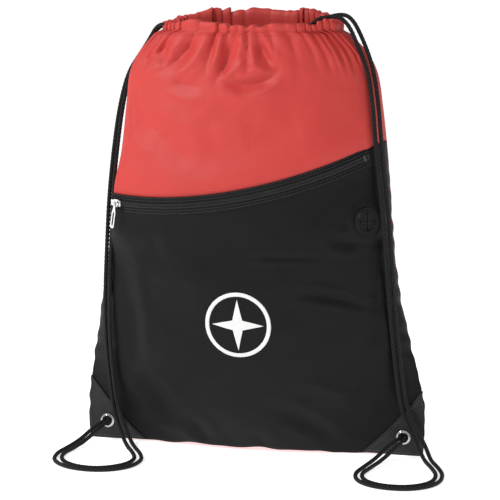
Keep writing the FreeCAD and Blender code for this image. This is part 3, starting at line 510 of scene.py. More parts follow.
def new_group(name, inputs, outputs):
    """An empty shader node group with named sockets."""
    tree = bpy.data.node_groups.new(name, "ShaderNodeTree")
    for label, kind, value in inputs:
        socket = tree.interface.new_socket(label, in_out="INPUT", socket_type=kind)
        if value is not None:
            socket.default_value = value
    for label, kind in outputs:
        tree.interface.new_socket(label, in_out="OUTPUT", socket_type=kind)
    return tree, tree.nodes.new("NodeGroupInput"), tree.nodes.new("NodeGroupOutput")


def math_node(tree, operation, first, second=None, third=None):
    """One Math node; each operand is a socket or a number."""
    item = tree.nodes.new("ShaderNodeMath")
    item.operation = operation
    for i, value in enumerate((first, second, third)):
        if value is None:
            continue
        if isinstance(value, bpy.types.NodeSocket):
            tree.links.new(value, item.inputs[i])
        else:
            item.inputs[i].default_value = value
    return item.outputs[0]


def weave_group():
    """Plain weave: warp and weft threads passing over each other."""
    name = "Plain weave"
    if name in bpy.data.node_groups:
        return bpy.data.node_groups[name]
    tree, given, made = new_group(
        name,
        [("Vector", "NodeSocketVector", None), ("Threads", "NodeSocketFloat", 1400.0),
         ("Grid", "NodeSocketFloat", 0.0)],
        [("Height", "NodeSocketFloat"), ("Slub", "NodeSocketFloat")])
    split = tree.nodes.new("ShaderNodeSeparateXYZ")
    tree.links.new(given.outputs["Vector"], split.inputs[0])
    warp = math_node(tree, "MULTIPLY", split.outputs[0], given.outputs["Threads"])
    weft = math_node(tree, "MULTIPLY", split.outputs[1], given.outputs["Threads"])
    over = math_node(tree, "MULTIPLY", math_node(tree, "SINE", warp), math_node(tree, "SINE", weft))
    lined = []
    for axis in (0, 1):
        wave = math_node(tree, "SINE", math_node(tree, "MULTIPLY", split.outputs[axis], GRID_LINES))
        lined.append(math_node(tree, "POWER", math_node(tree, "ABSOLUTE", wave), 12.0))
    grid = math_node(tree, "MULTIPLY", math_node(tree, "MAXIMUM", lined[0], lined[1]),
                     given.outputs["Grid"])
    height = math_node(tree, "ADD", math_node(tree, "MULTIPLY", over, 0.5), grid)
    tree.links.new(height, made.inputs["Height"])
    slub = tree.nodes.new("ShaderNodeTexNoise")
    slub.inputs["Scale"].default_value = 160.0
    slub.inputs["Detail"].default_value = 3.0
    stretch = tree.nodes.new("ShaderNodeMapping")
    stretch.inputs["Scale"].default_value = (1.0, 9.0, 1.0)
    tree.links.new(given.outputs["Vector"], stretch.inputs["Vector"])
    tree.links.new(stretch.outputs[0], slub.inputs["Vector"])
    tree.links.new(slub.outputs["Fac"], made.inputs["Slub"])
    return tree


def patchy_group():
    """Broad uneven wear or fading over a surface, as a 0 to 1 mask."""
    name = "Uneven tone"
    if name in bpy.data.node_groups:
        return bpy.data.node_groups[name]
    tree, given, made = new_group(
        name, [("Vector", "NodeSocketVector", None), ("Scale", "NodeSocketFloat", 14.0)],
        [("Mask", "NodeSocketFloat")])
    cloud = tree.nodes.new("ShaderNodeTexNoise")
    cloud.inputs["Detail"].default_value = 4.0
    cloud.inputs["Roughness"].default_value = 0.6
    tree.links.new(given.outputs["Vector"], cloud.inputs["Vector"])
    tree.links.new(given.outputs["Scale"], cloud.inputs["Scale"])
    ramp = tree.nodes.new("ShaderNodeMapRange")
    ramp.inputs["From Min"].default_value = 0.3
    ramp.inputs["From Max"].default_value = 0.7
    tree.links.new(cloud.outputs["Fac"], ramp.inputs["Value"])
    tree.links.new(ramp.outputs[0], made.inputs["Mask"])
    return tree


def start_material(name, roughness, metallic=0.0, specular=0.5):
    """A material with its Principled shader and coordinates."""
    material = bpy.data.materials.new(name)
    material.use_nodes = True
    tree = material.node_tree
    shader = tree.nodes["Principled BSDF"]
    shader.inputs["Roughness"].default_value = roughness
    shader.inputs["Metallic"].default_value = metallic
    shader.inputs["Specular IOR Level"].default_value = specular
    where = tree.nodes.new("ShaderNodeTexCoord")
    return material, tree, shader, where


def placed_group(tree, group, vector, **values):
    """A node group in a material, with its own values."""
    item = tree.nodes.new("ShaderNodeGroup")
    item.node_tree = group
    tree.links.new(vector, item.inputs["Vector"])
    for label, value in values.items():
        item.inputs[label.replace("_", " ")].default_value = value
    return item


def mix_colour(tree, mask, first, second):
    """Two colours mixed by a mask."""
    item = tree.nodes.new("ShaderNodeMix")
    item.data_type = "RGBA"
    tree.links.new(mask, item.inputs[0])
    item.inputs[6].default_value = (*first, 1.0)
    item.inputs[7].default_value = (*second, 1.0)
    return item.outputs[2]


def add_bump(tree, shader, height, strength, distance):
    """A bump from a height."""
    bump = tree.nodes.new("ShaderNodeBump")
    bump.inputs["Strength"].default_value = strength
    bump.inputs["Distance"].default_value = distance
    tree.links.new(height, bump.inputs["Height"])
    tree.links.new(bump.outputs[0], shader.inputs["Normal"])
    return bump


def cloth_material(name, colour, roughness, sheen, light, dark, grid, shine):
    """Woven polyester on the piece's own UV map, in metres."""
    material, tree, shader, where = start_material(name, roughness, specular=shine)
    shader.inputs["Sheen Weight"].default_value = sheen
    shader.inputs["Sheen Roughness"].default_value = 0.4
    shader.inputs["Sheen Tint"].default_value = (*[min(1.0, c * 1.2 + 0.25) for c in colour], 1.0)
    weave = placed_group(tree, weave_group(), where.outputs["UV"], Threads=WEAVE_THREADS, Grid=grid)
    tone = placed_group(tree, patchy_group(), where.outputs["Object"], Scale=11.0)
    speck = math_node(tree, "MULTIPLY_ADD", weave.outputs["Slub"], 0.45, 0.0)
    mask = math_node(tree, "ADD", math_node(tree, "MULTIPLY", tone.outputs["Mask"], 0.6), speck)
    mask = math_node(tree, "MINIMUM", mask, 1.0)
    tree.links.new(mix_colour(tree, mask, [c * dark for c in colour], [c * light for c in colour]),
                   shader.inputs["Base Color"])
    rough = math_node(tree, "MULTIPLY_ADD", tone.outputs["Mask"], 0.10, roughness - 0.05)
    tree.links.new(rough, shader.inputs["Roughness"])
    height = math_node(tree, "ADD", weave.outputs["Height"],
                       math_node(tree, "MULTIPLY", weave.outputs["Slub"], 0.8))
    fine = add_bump(tree, shader, height, 0.30, 0.0004)
    crinkle = tree.nodes.new("ShaderNodeTexNoise")
    crinkle.noise_type = "RIDGED_MULTIFRACTAL"
    crinkle.inputs["Scale"].default_value = 17.0
    crinkle.inputs["Detail"].default_value = 3.0
    crinkle.inputs["Distortion"].default_value = 0.6
    tree.links.new(where.outputs["Object"], crinkle.inputs["Vector"])
    coarse = tree.nodes.new("ShaderNodeBump")
    coarse.inputs["Strength"].default_value = 0.6
    coarse.inputs["Distance"].default_value = 0.0016
    tree.links.new(crinkle.outputs["Fac"], coarse.inputs["Height"])
    tree.links.new(coarse.outputs[0], fine.inputs["Normal"])
    return material


def red_cloth():
    return material_once("body cloth", lambda n: cloth_material(
        n, colours().red, 0.54, 0.05, 1.08, 0.86, 0.5, 0.40))


def black_cloth():
    return material_once("pocket cloth", lambda n: cloth_material(
        n, colours().black, 0.52, 0.0, 1.5, 0.6, 0.5, 0.17))


def material_once(name, make):
    """The named material, made on first use."""
    return bpy.data.materials.get(name) or make(name)


def tape_material(name):
    """Ribbed zip tape, read in object space."""
    material, tree, shader, where = start_material(name, 0.8, specular=0.3)
    rib = tree.nodes.new("ShaderNodeTexWave")
    rib.bands_direction = "Z"
    rib.inputs["Scale"].default_value = 520.0
    rib.inputs["Distortion"].default_value = 0.6
    tree.links.new(where.outputs["Object"], rib.inputs["Vector"])
    tone = placed_group(tree, patchy_group(), where.outputs["Object"], Scale=60.0)
    base = colours().black
    tree.links.new(mix_colour(tree, tone.outputs["Mask"], [c * 0.55 for c in base],
                              [c * 0.95 for c in base]), shader.inputs["Base Color"])
    add_bump(tree, shader, rib.outputs["Fac"], 0.5, 0.0003)
    return material


def patch_material(name):
    """Pebbled imitation leather, with painted highlights on the pebble tops and painted shade in the hollows
    between them.
    """
    material, tree, shader, where = start_material(name, 0.48, specular=0.36)
    pebble = tree.nodes.new("ShaderNodeTexVoronoi")
    pebble.feature = "SMOOTH_F1"
    pebble.inputs["Scale"].default_value = 620.0
    tree.links.new(where.outputs["Object"], pebble.inputs["Vector"])
    tone = placed_group(tree, patchy_group(), where.outputs["Object"], Scale=40.0)
    base = colours().patch
    # Pebble tops are painted lighter and the hollows between pebbles darker: painted highlight and painted
    # shade, scaled by the random uneven tone below.
    mask = math_node(tree, "MULTIPLY_ADD", pebble.outputs["Distance"], -0.8, 0.9)
    worn = math_node(tree, "MULTIPLY_ADD", tone.outputs["Mask"], 0.4, 0.6)
    mask = math_node(tree, "MULTIPLY", mask, worn)
    tree.links.new(mix_colour(tree, mask, [c * 0.7 for c in base], [c * 1.5 for c in base]),
                   shader.inputs["Base Color"])
    tree.links.new(math_node(tree, "MULTIPLY_ADD", tone.outputs["Mask"], 0.16, 0.40),
                   shader.inputs["Roughness"])
    add_bump(tree, shader, math_node(tree, "SUBTRACT", 1.0, pebble.outputs["Distance"]), 0.55, 0.0004)
    return material


def cord_material(name):
    """Braided cord: two families of yarns crossing, on the tube's UV map, with painted highlights on the
    yarn crests and painted shade in the grooves between them.
    """
    material, tree, shader, where = start_material(name, 0.6, specular=0.18)
    shader.inputs["Sheen Weight"].default_value = 0.02
    shader.inputs["Sheen Roughness"].default_value = 0.5
    split = tree.nodes.new("ShaderNodeSeparateXYZ")
    tree.links.new(where.outputs["UV"], split.inputs[0])
    along = math_node(tree, "MULTIPLY", split.outputs[0], 2.0 * math.pi / BRAID_PITCH)
    around = math_node(tree, "MULTIPLY", split.outputs[1], 2.0 * math.pi * 4.0)
    first = math_node(tree, "COSINE", math_node(tree, "ADD", around, along))
    second = math_node(tree, "COSINE", math_node(tree, "SUBTRACT", around, along))
    crest = math_node(tree, "MAXIMUM", first, second)
    fibre = math_node(tree, "SINE", math_node(tree, "MULTIPLY", math_node(tree, "ADD", around, along), 5.0))
    # The colour follows the yarn crests: crests are painted much lighter as painted highlights, grooves
    # darker as painted shade.
    mask = math_node(tree, "MULTIPLY_ADD", crest, 0.5, 0.5)
    base = colours().cord
    tree.links.new(mix_colour(tree, mask, [c * 0.3 for c in base], [c * 5.0 + 0.004 for c in base]),
                   shader.inputs["Base Color"])
    height = math_node(tree, "MULTIPLY_ADD", fibre, 0.12, crest)
    add_bump(tree, shader, height, 0.9, 0.0005)
    return material


def metal_material(name, roughness=0.2):
    """Bright plated metal with faint handling marks."""
    material, tree, shader, where = start_material(name, roughness, metallic=1.0)
    tone = placed_group(tree, patchy_group(), where.outputs["Object"], Scale=220.0)
    base = colours().metal
    tree.links.new(mix_colour(tree, tone.outputs["Mask"], [c * 0.88 for c in base], list(base)),
                   shader.inputs["Base Color"])
    tree.links.new(math_node(tree, "MULTIPLY_ADD", tone.outputs["Mask"], 0.12, roughness - 0.04),
                   shader.inputs["Roughness"])
    return material


def moulded_material(name, colour, roughness, grain, strength, shine=0.5):
    """Moulded rubber or plastic with a fine grain."""
    material, tree, shader, where = start_material(name, roughness, specular=shine)
    fine = tree.nodes.new("ShaderNodeTexNoise")
    fine.inputs["Scale"].default_value = grain
    fine.inputs["Detail"].default_value = 4.0
    tree.links.new(where.outputs["Object"], fine.inputs["Vector"])
    tone = placed_group(tree, patchy_group(), where.outputs["Object"], Scale=90.0)
    tree.links.new(mix_colour(tree, tone.outputs["Mask"], [c * 0.8 for c in colour],
                              [c * 1.25 for c in colour]), shader.inputs["Base Color"])
    tree.links.new(math_node(tree, "MULTIPLY_ADD", fine.outputs["Fac"], 0.2, roughness - 0.1),
                   shader.inputs["Roughness"])
    add_bump(tree, shader, fine.outputs["Fac"], strength, 0.0002)
    return material


def print_material(name):
    """White screen print with the cloth's weave showing through."""
    material, tree, shader, where = start_material(name, 0.55, specular=0.4)
    weave = placed_group(tree, weave_group(), where.outputs["UV"], Threads=WEAVE_THREADS, Grid=0.2)
    tone = placed_group(tree, patchy_group(), where.outputs["Object"], Scale=70.0)
    base = colours().print_white
    tree.links.new(mix_colour(tree, tone.outputs["Mask"], [c * 0.93 for c in base], list(base)),
                   shader.inputs["Base Color"])
    add_bump(tree, shader, weave.outputs["Height"], 0.25, 0.0003)
    return material


def thread_material(name, colour):
    """Sewing thread."""
    return moulded_material(name, colour, 0.7, 2500.0, 0.3)


def black_thread():
    return material_once("black thread", lambda n: thread_material(n, THREAD_BLACK))


def red_thread():
    return material_once("red thread", lambda n: thread_material(n, [c * 0.8 for c in colours().red]))


def knotted_cord():
    return material_once("knotted cord", lambda n: moulded_material(n, colours().cord, 0.6, 900.0, 0.8))


def coil_plastic():
    return material_once("coil tooth", lambda n: moulded_material(n, COIL_BLACK, 0.4, 900.0, 0.1))


def port_rubber():
    return material_once("port rubber", lambda n: moulded_material(n, RUBBER_BLACK, 0.48, 700.0, 0.3, 0.22))


# ---------------------------------------------------------------- geometry nodes

def along_path_tree():
    """Rounded links set along a path, lying along it and facing outwards."""
    name = "Links along a path"
    if name in bpy.data.node_groups:
        return bpy.data.node_groups[name]
    tree = bpy.data.node_groups.new(name, "GeometryNodeTree")
    tree.interface.new_socket("Geometry", in_out="INPUT", socket_type="NodeSocketGeometry")
    for label, value in (("Spacing", 0.003), ("Length", 0.002), ("Width", 0.0006), ("Height", 0.0006),
                         ("Offset", 0.0)):
        socket = tree.interface.new_socket(label, in_out="INPUT", socket_type="NodeSocketFloat")
        socket.default_value = value
    tree.interface.new_socket("Material", in_out="INPUT", socket_type="NodeSocketMaterial")
    tree.interface.new_socket("Geometry", in_out="OUTPUT", socket_type="NodeSocketGeometry")
    given, made = tree.nodes.new("NodeGroupInput"), tree.nodes.new("NodeGroupOutput")
    link = tree.links.new
    curve = tree.nodes.new("GeometryNodeMeshToCurve")
    link(given.outputs["Geometry"], curve.inputs["Mesh"])
    spaced = tree.nodes.new("GeometryNodeResampleCurve")
    spaced.mode = "LENGTH"
    link(curve.outputs[0], spaced.inputs["Curve"])
    link(given.outputs["Spacing"], spaced.inputs["Length"])
    tangent = tree.nodes.new("GeometryNodeInputTangent")
    outward = tree.nodes.new("GeometryNodeInputNamedAttribute")
    outward.data_type = "FLOAT_VECTOR"
    outward.inputs["Name"].default_value = "outward"
    lie = tree.nodes.new("FunctionNodeAlignRotationToVector")
    lie.axis = "X"
    link(tangent.outputs[0], lie.inputs["Vector"])
    face = tree.nodes.new("FunctionNodeAlignRotationToVector")
    face.axis, face.pivot_axis = "Z", "X"
    link(lie.outputs[0], face.inputs["Rotation"])
    link(outward.outputs["Attribute"], face.inputs["Vector"])
    bead = tree.nodes.new("GeometryNodeMeshUVSphere")
    bead.inputs["Segments"].default_value = 8
    bead.inputs["Rings"].default_value = 5
    bead.inputs["Radius"].default_value = 0.5
    size = tree.nodes.new("ShaderNodeCombineXYZ")
    for i, label in enumerate(("Length", "Width", "Height")):
        link(given.outputs[label], size.inputs[i])
    copies = tree.nodes.new("GeometryNodeInstanceOnPoints")
    link(bead.outputs["Mesh"], copies.inputs["Instance"])
    link(face.outputs[0], copies.inputs["Rotation"])
    link(size.outputs[0], copies.inputs["Scale"])
    lift = tree.nodes.new("ShaderNodeVectorMath")
    lift.operation = "SCALE"
    link(outward.outputs["Attribute"], lift.inputs[0])
    link(given.outputs["Offset"], lift.inputs["Scale"])
    moved = tree.nodes.new("GeometryNodeSetPosition")
    link(spaced.outputs[0], moved.inputs["Geometry"])
    link(lift.outputs[0], moved.inputs["Offset"])
    link(moved.outputs[0], copies.inputs["Points"])
    real = tree.nodes.new("GeometryNodeRealizeInstances")
    link(copies.outputs[0], real.inputs[0])
    smooth = tree.nodes.new("GeometryNodeSetShadeSmooth")
    link(real.outputs[0], smooth.inputs[0])
    finish = tree.nodes.new("GeometryNodeSetMaterial")
    link(smooth.outputs[0], finish.inputs["Geometry"])
    link(given.outputs["Material"], finish.inputs["Material"])
    link(finish.outputs[0], made.inputs[0])
    return tree


def links_along(name, paths, material, spacing, length, width, height, offset=0.0):
    """A mesh of links along paths; each path is a list of (point, outward) pairs."""
    points, edges, outward = [], [], []
    for path in paths:
        first = len(points)
        points += [tuple(p) for p, _ in path]
        outward += [tuple(n) for _, n in path]
        edges += [(first + i, first + i + 1) for i in range(len(path) - 1)]
    mesh = bpy.data.meshes.new(name)
    mesh.from_pydata(points, edges, [])
    attribute = mesh.attributes.new("outward", "FLOAT_VECTOR", "POINT")
    attribute.data.foreach_set("vector", np.array(outward, dtype=np.float32).ravel())
    item = add_object(name, mesh)
    modifier = item.modifiers.new("links", "NODES")
    tree = along_path_tree()
    modifier.node_group = tree
    values = {"Spacing": spacing, "Length": length, "Width": width, "Height": height, "Offset": offset,
              "Material": material}
    for socket in tree.interface.items_tree:
        if socket.item_type == "SOCKET" and socket.in_out == "INPUT" and socket.name in values:
            modifier[socket.identifier] = values[socket.name]
    apply_modifiers(item)
    if not item.data.polygons:
        raise RuntimeError(name + " came out empty")
    return item


# ---------------------------------------------------------------- cords

def spline_points(name, route):
    """Points of the smooth line that takes a route's points as its control points."""
    curve = bpy.data.curves.new(name, "CURVE")
    curve.dimensions = "3D"
    curve.resolution_u = 16
    spline = curve.splines.new("NURBS")
    spline.points.add(len(route) - 1)
    for point, spot in zip(spline.points, route):
        point.co = (spot[0] * MM, spot[1] * MM, spot[2] * MM, 1.0)
    spline.order_u = 3
    spline.use_endpoint_u = True
    holder = add_object(name + "_line", curve)
    graph = bpy.context.evaluated_depsgraph_get()
    graph.update()
    mesh = bpy.data.meshes.new_from_object(holder.evaluated_get(graph), depsgraph=graph)
    line = np.array([v.co[:] for v in mesh.vertices])
    bpy.data.objects.remove(holder)
    bpy.data.meshes.remove(mesh)
    return line


def even_steps(line, step):
    """A line's points again, evenly spaced."""
    run = np.concatenate(([0.0], np.cumsum(np.linalg.norm(np.diff(line, axis=0), axis=1))))
    count = max(2, int(round(run[-1] / step)) + 1)
    at = np.linspace(0.0, run[-1], count)
    return np.stack([np.interp(at, run, line[:, i]) for i in range(3)], axis=1), at


def braided_tube(name, line, radius, around=20, step=0.0009):
    """A round braid along a line, its yarns standing out in chevrons."""
    centre, at = even_steps(line, step)
    tangent = np.gradient(centre, axis=0)
    tangent /= np.linalg.norm(tangent, axis=1)[:, None]
    side = Vector(tangent[0]).orthogonal().normalized()
    angles = np.linspace(0.0, 2.0 * math.pi, around + 1)
    points, uv = [], []
    for i, spot in enumerate(centre):
        ahead = Vector(tangent[i])
        side = (side - ahead * side.dot(ahead)).normalized()
        other = ahead.cross(side)
        wave = 2.0 * math.pi * at[i] / BRAID_PITCH
        crest = np.maximum(np.cos(4 * angles + wave), np.cos(4 * angles - wave))
        reach = radius * (0.93 + 0.07 * crest)
        ring = (np.array(spot)[None, :] + np.outer(np.cos(angles) * reach, side)
                + np.outer(np.sin(angles) * reach, other))
        points.append(ring)
        uv.append(np.stack((np.full(around + 1, at[i]), angles / (2 * math.pi)), axis=1))
    rows = len(points)
    faces = grid_faces(rows, around + 1)
    count = rows * (around + 1)
    points = np.concatenate(points + [centre[:1], centre[-1:]])
    uv = np.concatenate(uv + [np.array([[0.0, 0.5], [at[-1], 0.5]])])
    for i in range(around):
        faces.append((count, i + 1, i))
        base = (rows - 1) * (around + 1)
        faces.append((count + 1, base + i, base + i + 1))
    piece = smooth_mesh(name, points, faces, uv)
    weld = piece.modifiers.new("weld", "WELD")
    weld.merge_threshold = 0.00002
    return apply_modifiers(piece), centre


# ---------------------------------------------------------------- operators

class BACKPACK_OT_stage(bpy.types.Operator):
    """Lay the floor, set the lights and the camera"""
    bl_idname = "backpack.stage"
    bl_label = "Stage"

    def execute(self, context):
        scene = context.scene
        scene.view_settings.view_transform = "Standard"
        mesh = bpy.data.meshes.new("floor")
        reach = 12.0
        mesh.from_pydata([(-reach, -reach, 0), (reach, -reach, 0), (reach, reach, 0), (-reach, reach, 0)],
                         [], [(0, 1, 2, 3)])
        floor = add_object("floor", mesh)
        material, _, shader, _ = start_material("floor paper", 0.9, specular=0.1)
        shader.inputs["Base Color"].default_value = (0.93, 0.93, 0.93, 1.0)
        shader.inputs["Emission Color"].default_value = (1.0, 1.0, 1.0, 1.0)
        shader.inputs["Emission Strength"].default_value = 0.70
        mesh.materials.append(material)
        world = bpy.data.worlds.new("studio")
        scene.world = world
        world.use_nodes = True
        sky = world.node_tree.nodes["Background"]
        sky.inputs["Color"].default_value = (1.0, 1.0, 1.0, 1.0)
        seen = world.node_tree.nodes.new("ShaderNodeLightPath")
        level = math_node(world.node_tree, "MULTIPLY_ADD", seen.outputs["Is Camera Ray"], 0.70, 0.36)
        world.node_tree.links.new(level, sky.inputs["Strength"])
        self.add_light("key", (-1.5, -1.15, 1.9), (0.0, 0.0, 0.25), 0.5, 41.0)
        self.add_light("fill", (1.9, -1.5, 0.9), (0.0, 0.0, 0.2), 1.6, 6.0)
        camera_data = bpy.data.cameras.new("camera")
        camera_data.sensor_width = 36.0
        camera_data.lens = CAMERA_LENS
        camera = add_object("camera", camera_data)
        camera.location = CAMERA_SPOT
        aim = Vector(CAMERA_AIM) - camera.location
        camera.rotation_euler = aim.to_track_quat("-Z", "Y").to_euler()
        scene.camera = camera
        return {"FINISHED"}

    @staticmethod
    def add_light(name, spot, aim, size, power):
        data = bpy.data.lights.new(name, "AREA")
        data.size = size
        data.energy = power
        item = add_object(name, data)
        item.location = spot
        item.rotation_euler = (Vector(aim) - Vector(spot)).to_track_quat("-Z", "Y").to_euler()


class BACKPACK_OT_cords(bpy.types.Operator):
    """Braid the four free drawcord lengths and their hidden loops, and give their knots the knotted cord
    material
    """
    bl_idname = "backpack.cords"
    bl_label = "Drawcords"

    def execute(self, context):
        material = material_once("cord braid", cord_material)
        thick = sizes().cord
        for name, route in ROUTES.items():
            line = spline_points(name, route)
            piece, path = braided_tube("braid_" + name, line, thick / 2)
            place(piece, material, [name])
        for side, hand, height, dip in ((-1, "left", 424.5, 417.6), (1, "right", 434.0, 422.0)):
            piece, _ = braided_tube("braid_%s_loop" % hand, self.loop(side, height, dip), thick / 2)
            place(piece, material, [hand + "_cord_loop"])
            dress(hand + "_knot", knotted_cord())
        return {"FINISHED"}

    @staticmethod
    def loop(side, height, dip):
        """One drawcord's way round inside the sleeve, lower along the front than at its ends."""
        corner_x, corner_y = MOUTH_CORNER
        rise = MOUTH_DEEP - corner_y
        long_radius = (corner_x ** 2 + rise ** 2) / (2 * rise)
        push = MOUTH_WIDE - corner_x
        short_radius = (push ** 2 + corner_y ** 2) / (2 * push)
        spots = []
        half = math.asin(corner_x / long_radius)
        for turn in np.linspace(-half, half, 60):
            low = dip + (height - dip) * smoothstep(-math.sin(turn) / math.sin(half), 0.72, 1.0)
            across = -side * long_radius * math.sin(turn)
            low -= 3.4 * math.exp(-((across - 6.0) / 17.0) ** 2)
            spots.append((across, long_radius - MOUTH_DEEP - long_radius * math.cos(turn), float(low)))
        half = math.asin(corner_y / short_radius)
        for turn in np.linspace(-half, half, 24)[1:-1]:
            spots.append((-side * (MOUTH_WIDE - short_radius + short_radius * math.cos(turn)),
                          short_radius * math.sin(turn), float(dip)))
        half = math.asin(corner_x / long_radius)
        for turn in np.linspace(-half, half, 60):
            low = dip + (height - dip) * smoothstep(math.sin(turn) / math.sin(half), 0.72, 1.0)
            spots.append((side * long_radius * math.sin(turn),
                          MOUTH_DEEP - long_radius + long_radius * math.cos(turn), float(low)))
        return np.array([((x + MOUTH_LEAN) * MM, y * MM, z * MM) for x, y, z in spots])


class BACKPACK_OT_body(bpy.types.Operator):
    """Make the red bag: front, back, gathered shoulders and the sleeve round the mouth"""
    bl_idname = "backpack.body"
    bl_label = "Bag body"

    def execute(self, context):
        turns = self.turns(BODY_COLUMNS)
        heights = self.heights()
        rows = self.foot_rows(turns)
        for z in heights:
            rows.append(self.ring(turns, np.full(turns.size, z)))
        rows += self.mouth_rows(turns)
        points = np.concatenate([np.stack(r, axis=1) for r in rows])
        columns = 2 * turns.size - 2
        run = self.run_lengths(columns)
        uv = []
        climb = 0.0
        for i, row in enumerate(rows):
            if i:
                step = np.stack(row, axis=1) - np.stack(rows[i - 1], axis=1)
                climb += float(np.median(np.linalg.norm(step, axis=1)))
            uv.append(np.stack((run, np.full(columns, climb)), axis=1))
        faces = grid_faces(len(rows), columns, closed=True)
        body = smooth_mesh("bag_body", points, faces, np.concatenate(uv))
        place(body, red_cloth(), ["front_panel", "back_panel", "front_sleeve", "back_sleeve"])
        return {"FINISHED"}

    @staticmethod
    def turns(count):
        """Turns from the left seam to the right seam, closer together at the seams."""
        even = np.linspace(-1.0, 1.0, count)
        return SEAM * (0.72 * even + 0.28 * np.sin(even * SEAM))

    @staticmethod
    def heights():
        low = np.linspace(BODY_FOOT, 0.21, 60)
        middle = np.linspace(0.213, 0.345, 70)
        high = np.linspace(0.347, PANEL_TOP, 48)
        return np.concatenate((low, middle, high))

    @staticmethod
    def run_lengths(columns):
        return np.linspace(0.0, BODY_GIRTH, columns, endpoint=False)

    @staticmethod
    def ring(turns, z):
        """Front points from left to right, then back points from right to left, as one ring."""
        fx, fy, fz = front_surface(turns, z, FIRST_LAYER, False)
        inner = turns[-2:0:-1]
        bx, by, bz = back_surface(inner, z[1:-1], FIRST_LAYER)
        x = np.concatenate((fx, bx))
        y = np.concatenate((fy, by))
        height = np.concatenate((fz, bz))
        height = np.maximum(height, foot_lift(x) + 0.0016 + 0.25 * height)
        gather = smoothstep(height, 0.372, PANEL_TOP)
        lead = BACKPACK_OT_body.pleats(len(x))
        away = np.sign(y) * gather * lead * sizes().pleat_depth * 0.9
        return x, y + away * smoothstep(np.abs(y), 0.004, 0.02), height

    @staticmethod
    def pleats(columns):
        """The gathers round the mouth, -1 to 1 for each column."""
        count = sizes().pleats
        phase = np.linspace(0.0, 2.0 * math.pi, columns, endpoint=False)
        warp = phase + 0.10 * np.sin(3 * phase + 0.5) + 0.07 * np.sin(7 * phase + 2.0)
        fine = 2.0 * np.abs(np.cos(count / 2.0 * warp)) ** 0.8 - 1.0
        broad = 2.0 * np.abs(np.cos(round(count * 0.31) * warp + 1.1)) ** 0.8 - 1.0
        wave = 0.66 * fine + 0.34 * broad
        size = 0.75 + 0.25 * np.sin(5 * phase + 1.7)
        return wave * size

    def foot_rows(self, turns):
        """The bottom: the panels turn under and meet at the bottom seam."""
        rows = []
        for inward, rise in ((0.03, 0.0016), (0.25, 0.0036), (0.60, 0.0050), (0.90, 0.0054)):
            x, y, _ = self.ring(turns, np.full(turns.size, BODY_FOOT))
            rows.append((x * (1.0 - 0.004 * inward), y * (1.0 - inward), foot_lift(x) + rise + 0.0008))
        return rows[::-1]

    def mouth_rows(self, turns):
        """The sleeve round the mouth: out over its cord, up to the rim, then down inside."""
        rows = []
        x0, y0, _ = self.ring(turns, np.full(turns.size, PANEL_TOP))
        columns = x0.size
        lead = self.pleats(columns)
        phase = np.linspace(0.0, 2.0 * math.pi, columns, endpoint=False)
        facing = np.concatenate((-np.cos(turns), np.cos(turns[-2:0:-1])))
        rim = np.where(facing < 0.0, lip_height(x0 * 0.86), BACK_LIP + BACK_ARCH * np.abs(facing) ** 0.5)
        line = self.sleeve_line(x0, y0)
        rim = np.minimum(rim, RIM_TOP - RIM_FALL * np.maximum(np.abs(line[:, 0]) - RIM_HALF, 0.0))
        ruffle = 0.0026 * lead + 0.0013 * np.sin(11 * phase + 0.4) + 0.0008 * np.sin(29 * phase)
        rim = rim + ruffle * np.where(facing < 0.0, 0.25, 1.0)
        out = np.gradient(np.concatenate((line[-1:], line, line[:1])), axis=0)[1:-1]
        out = np.stack((out[:, 1], -out[:, 0]), axis=1)
        out /= np.linalg.norm(out, axis=1)[:, None]
        for rise, shift, gather in SLEEVE_PATH:
            puff = gather * (0.5 + 0.5 * lead) * sizes().pleat_depth
            reach = shift * MM + (puff if shift > 0.0 else -0.45 * puff)
            own = smoothstep(np.full(columns, rise), 0.0, 0.40) if shift > 0.0 else np.ones(columns)
            x = x0 * (1.0 - own) + (line[:, 0] + out[:, 0] * reach) * own
            y = y0 * (1.0 - own) + (line[:, 1] + out[:, 1] * reach) * own
            rows.append((x, y, PANEL_TOP + rise * (rim - PANEL_TOP)))
        return rows

    @staticmethod
    def sleeve_line(x, y):
        """The cord's line round the mouth, beside each given point."""
        corner_x, corner_y = (c * MM for c in MOUTH_CORNER)
        wide, deep = MOUTH_WIDE * MM, MOUTH_DEEP * MM
        rise, push = deep - corner_y, wide - corner_x
        long_radius = (corner_x ** 2 + rise ** 2) / (2 * rise)
        short_radius = (push ** 2 + corner_y ** 2) / (2 * push)
        angle = np.arctan2(y / 0.040, (x + 0.001) / 0.098)
        across = wide * np.cos(angle)
        tip = wide - short_radius
        long_y = deep - long_radius + np.sqrt(long_radius ** 2 - np.minimum(np.abs(across), corner_x) ** 2)
        short_y = np.sqrt(np.maximum(short_radius ** 2 - np.maximum(np.abs(across) - tip, 0.0) ** 2, 0.0))
        reach = np.where(np.abs(across) < corner_x, long_y, short_y)
        return np.stack((across + MOUTH_LEAN * MM, np.sign(y) * reach), axis=1)


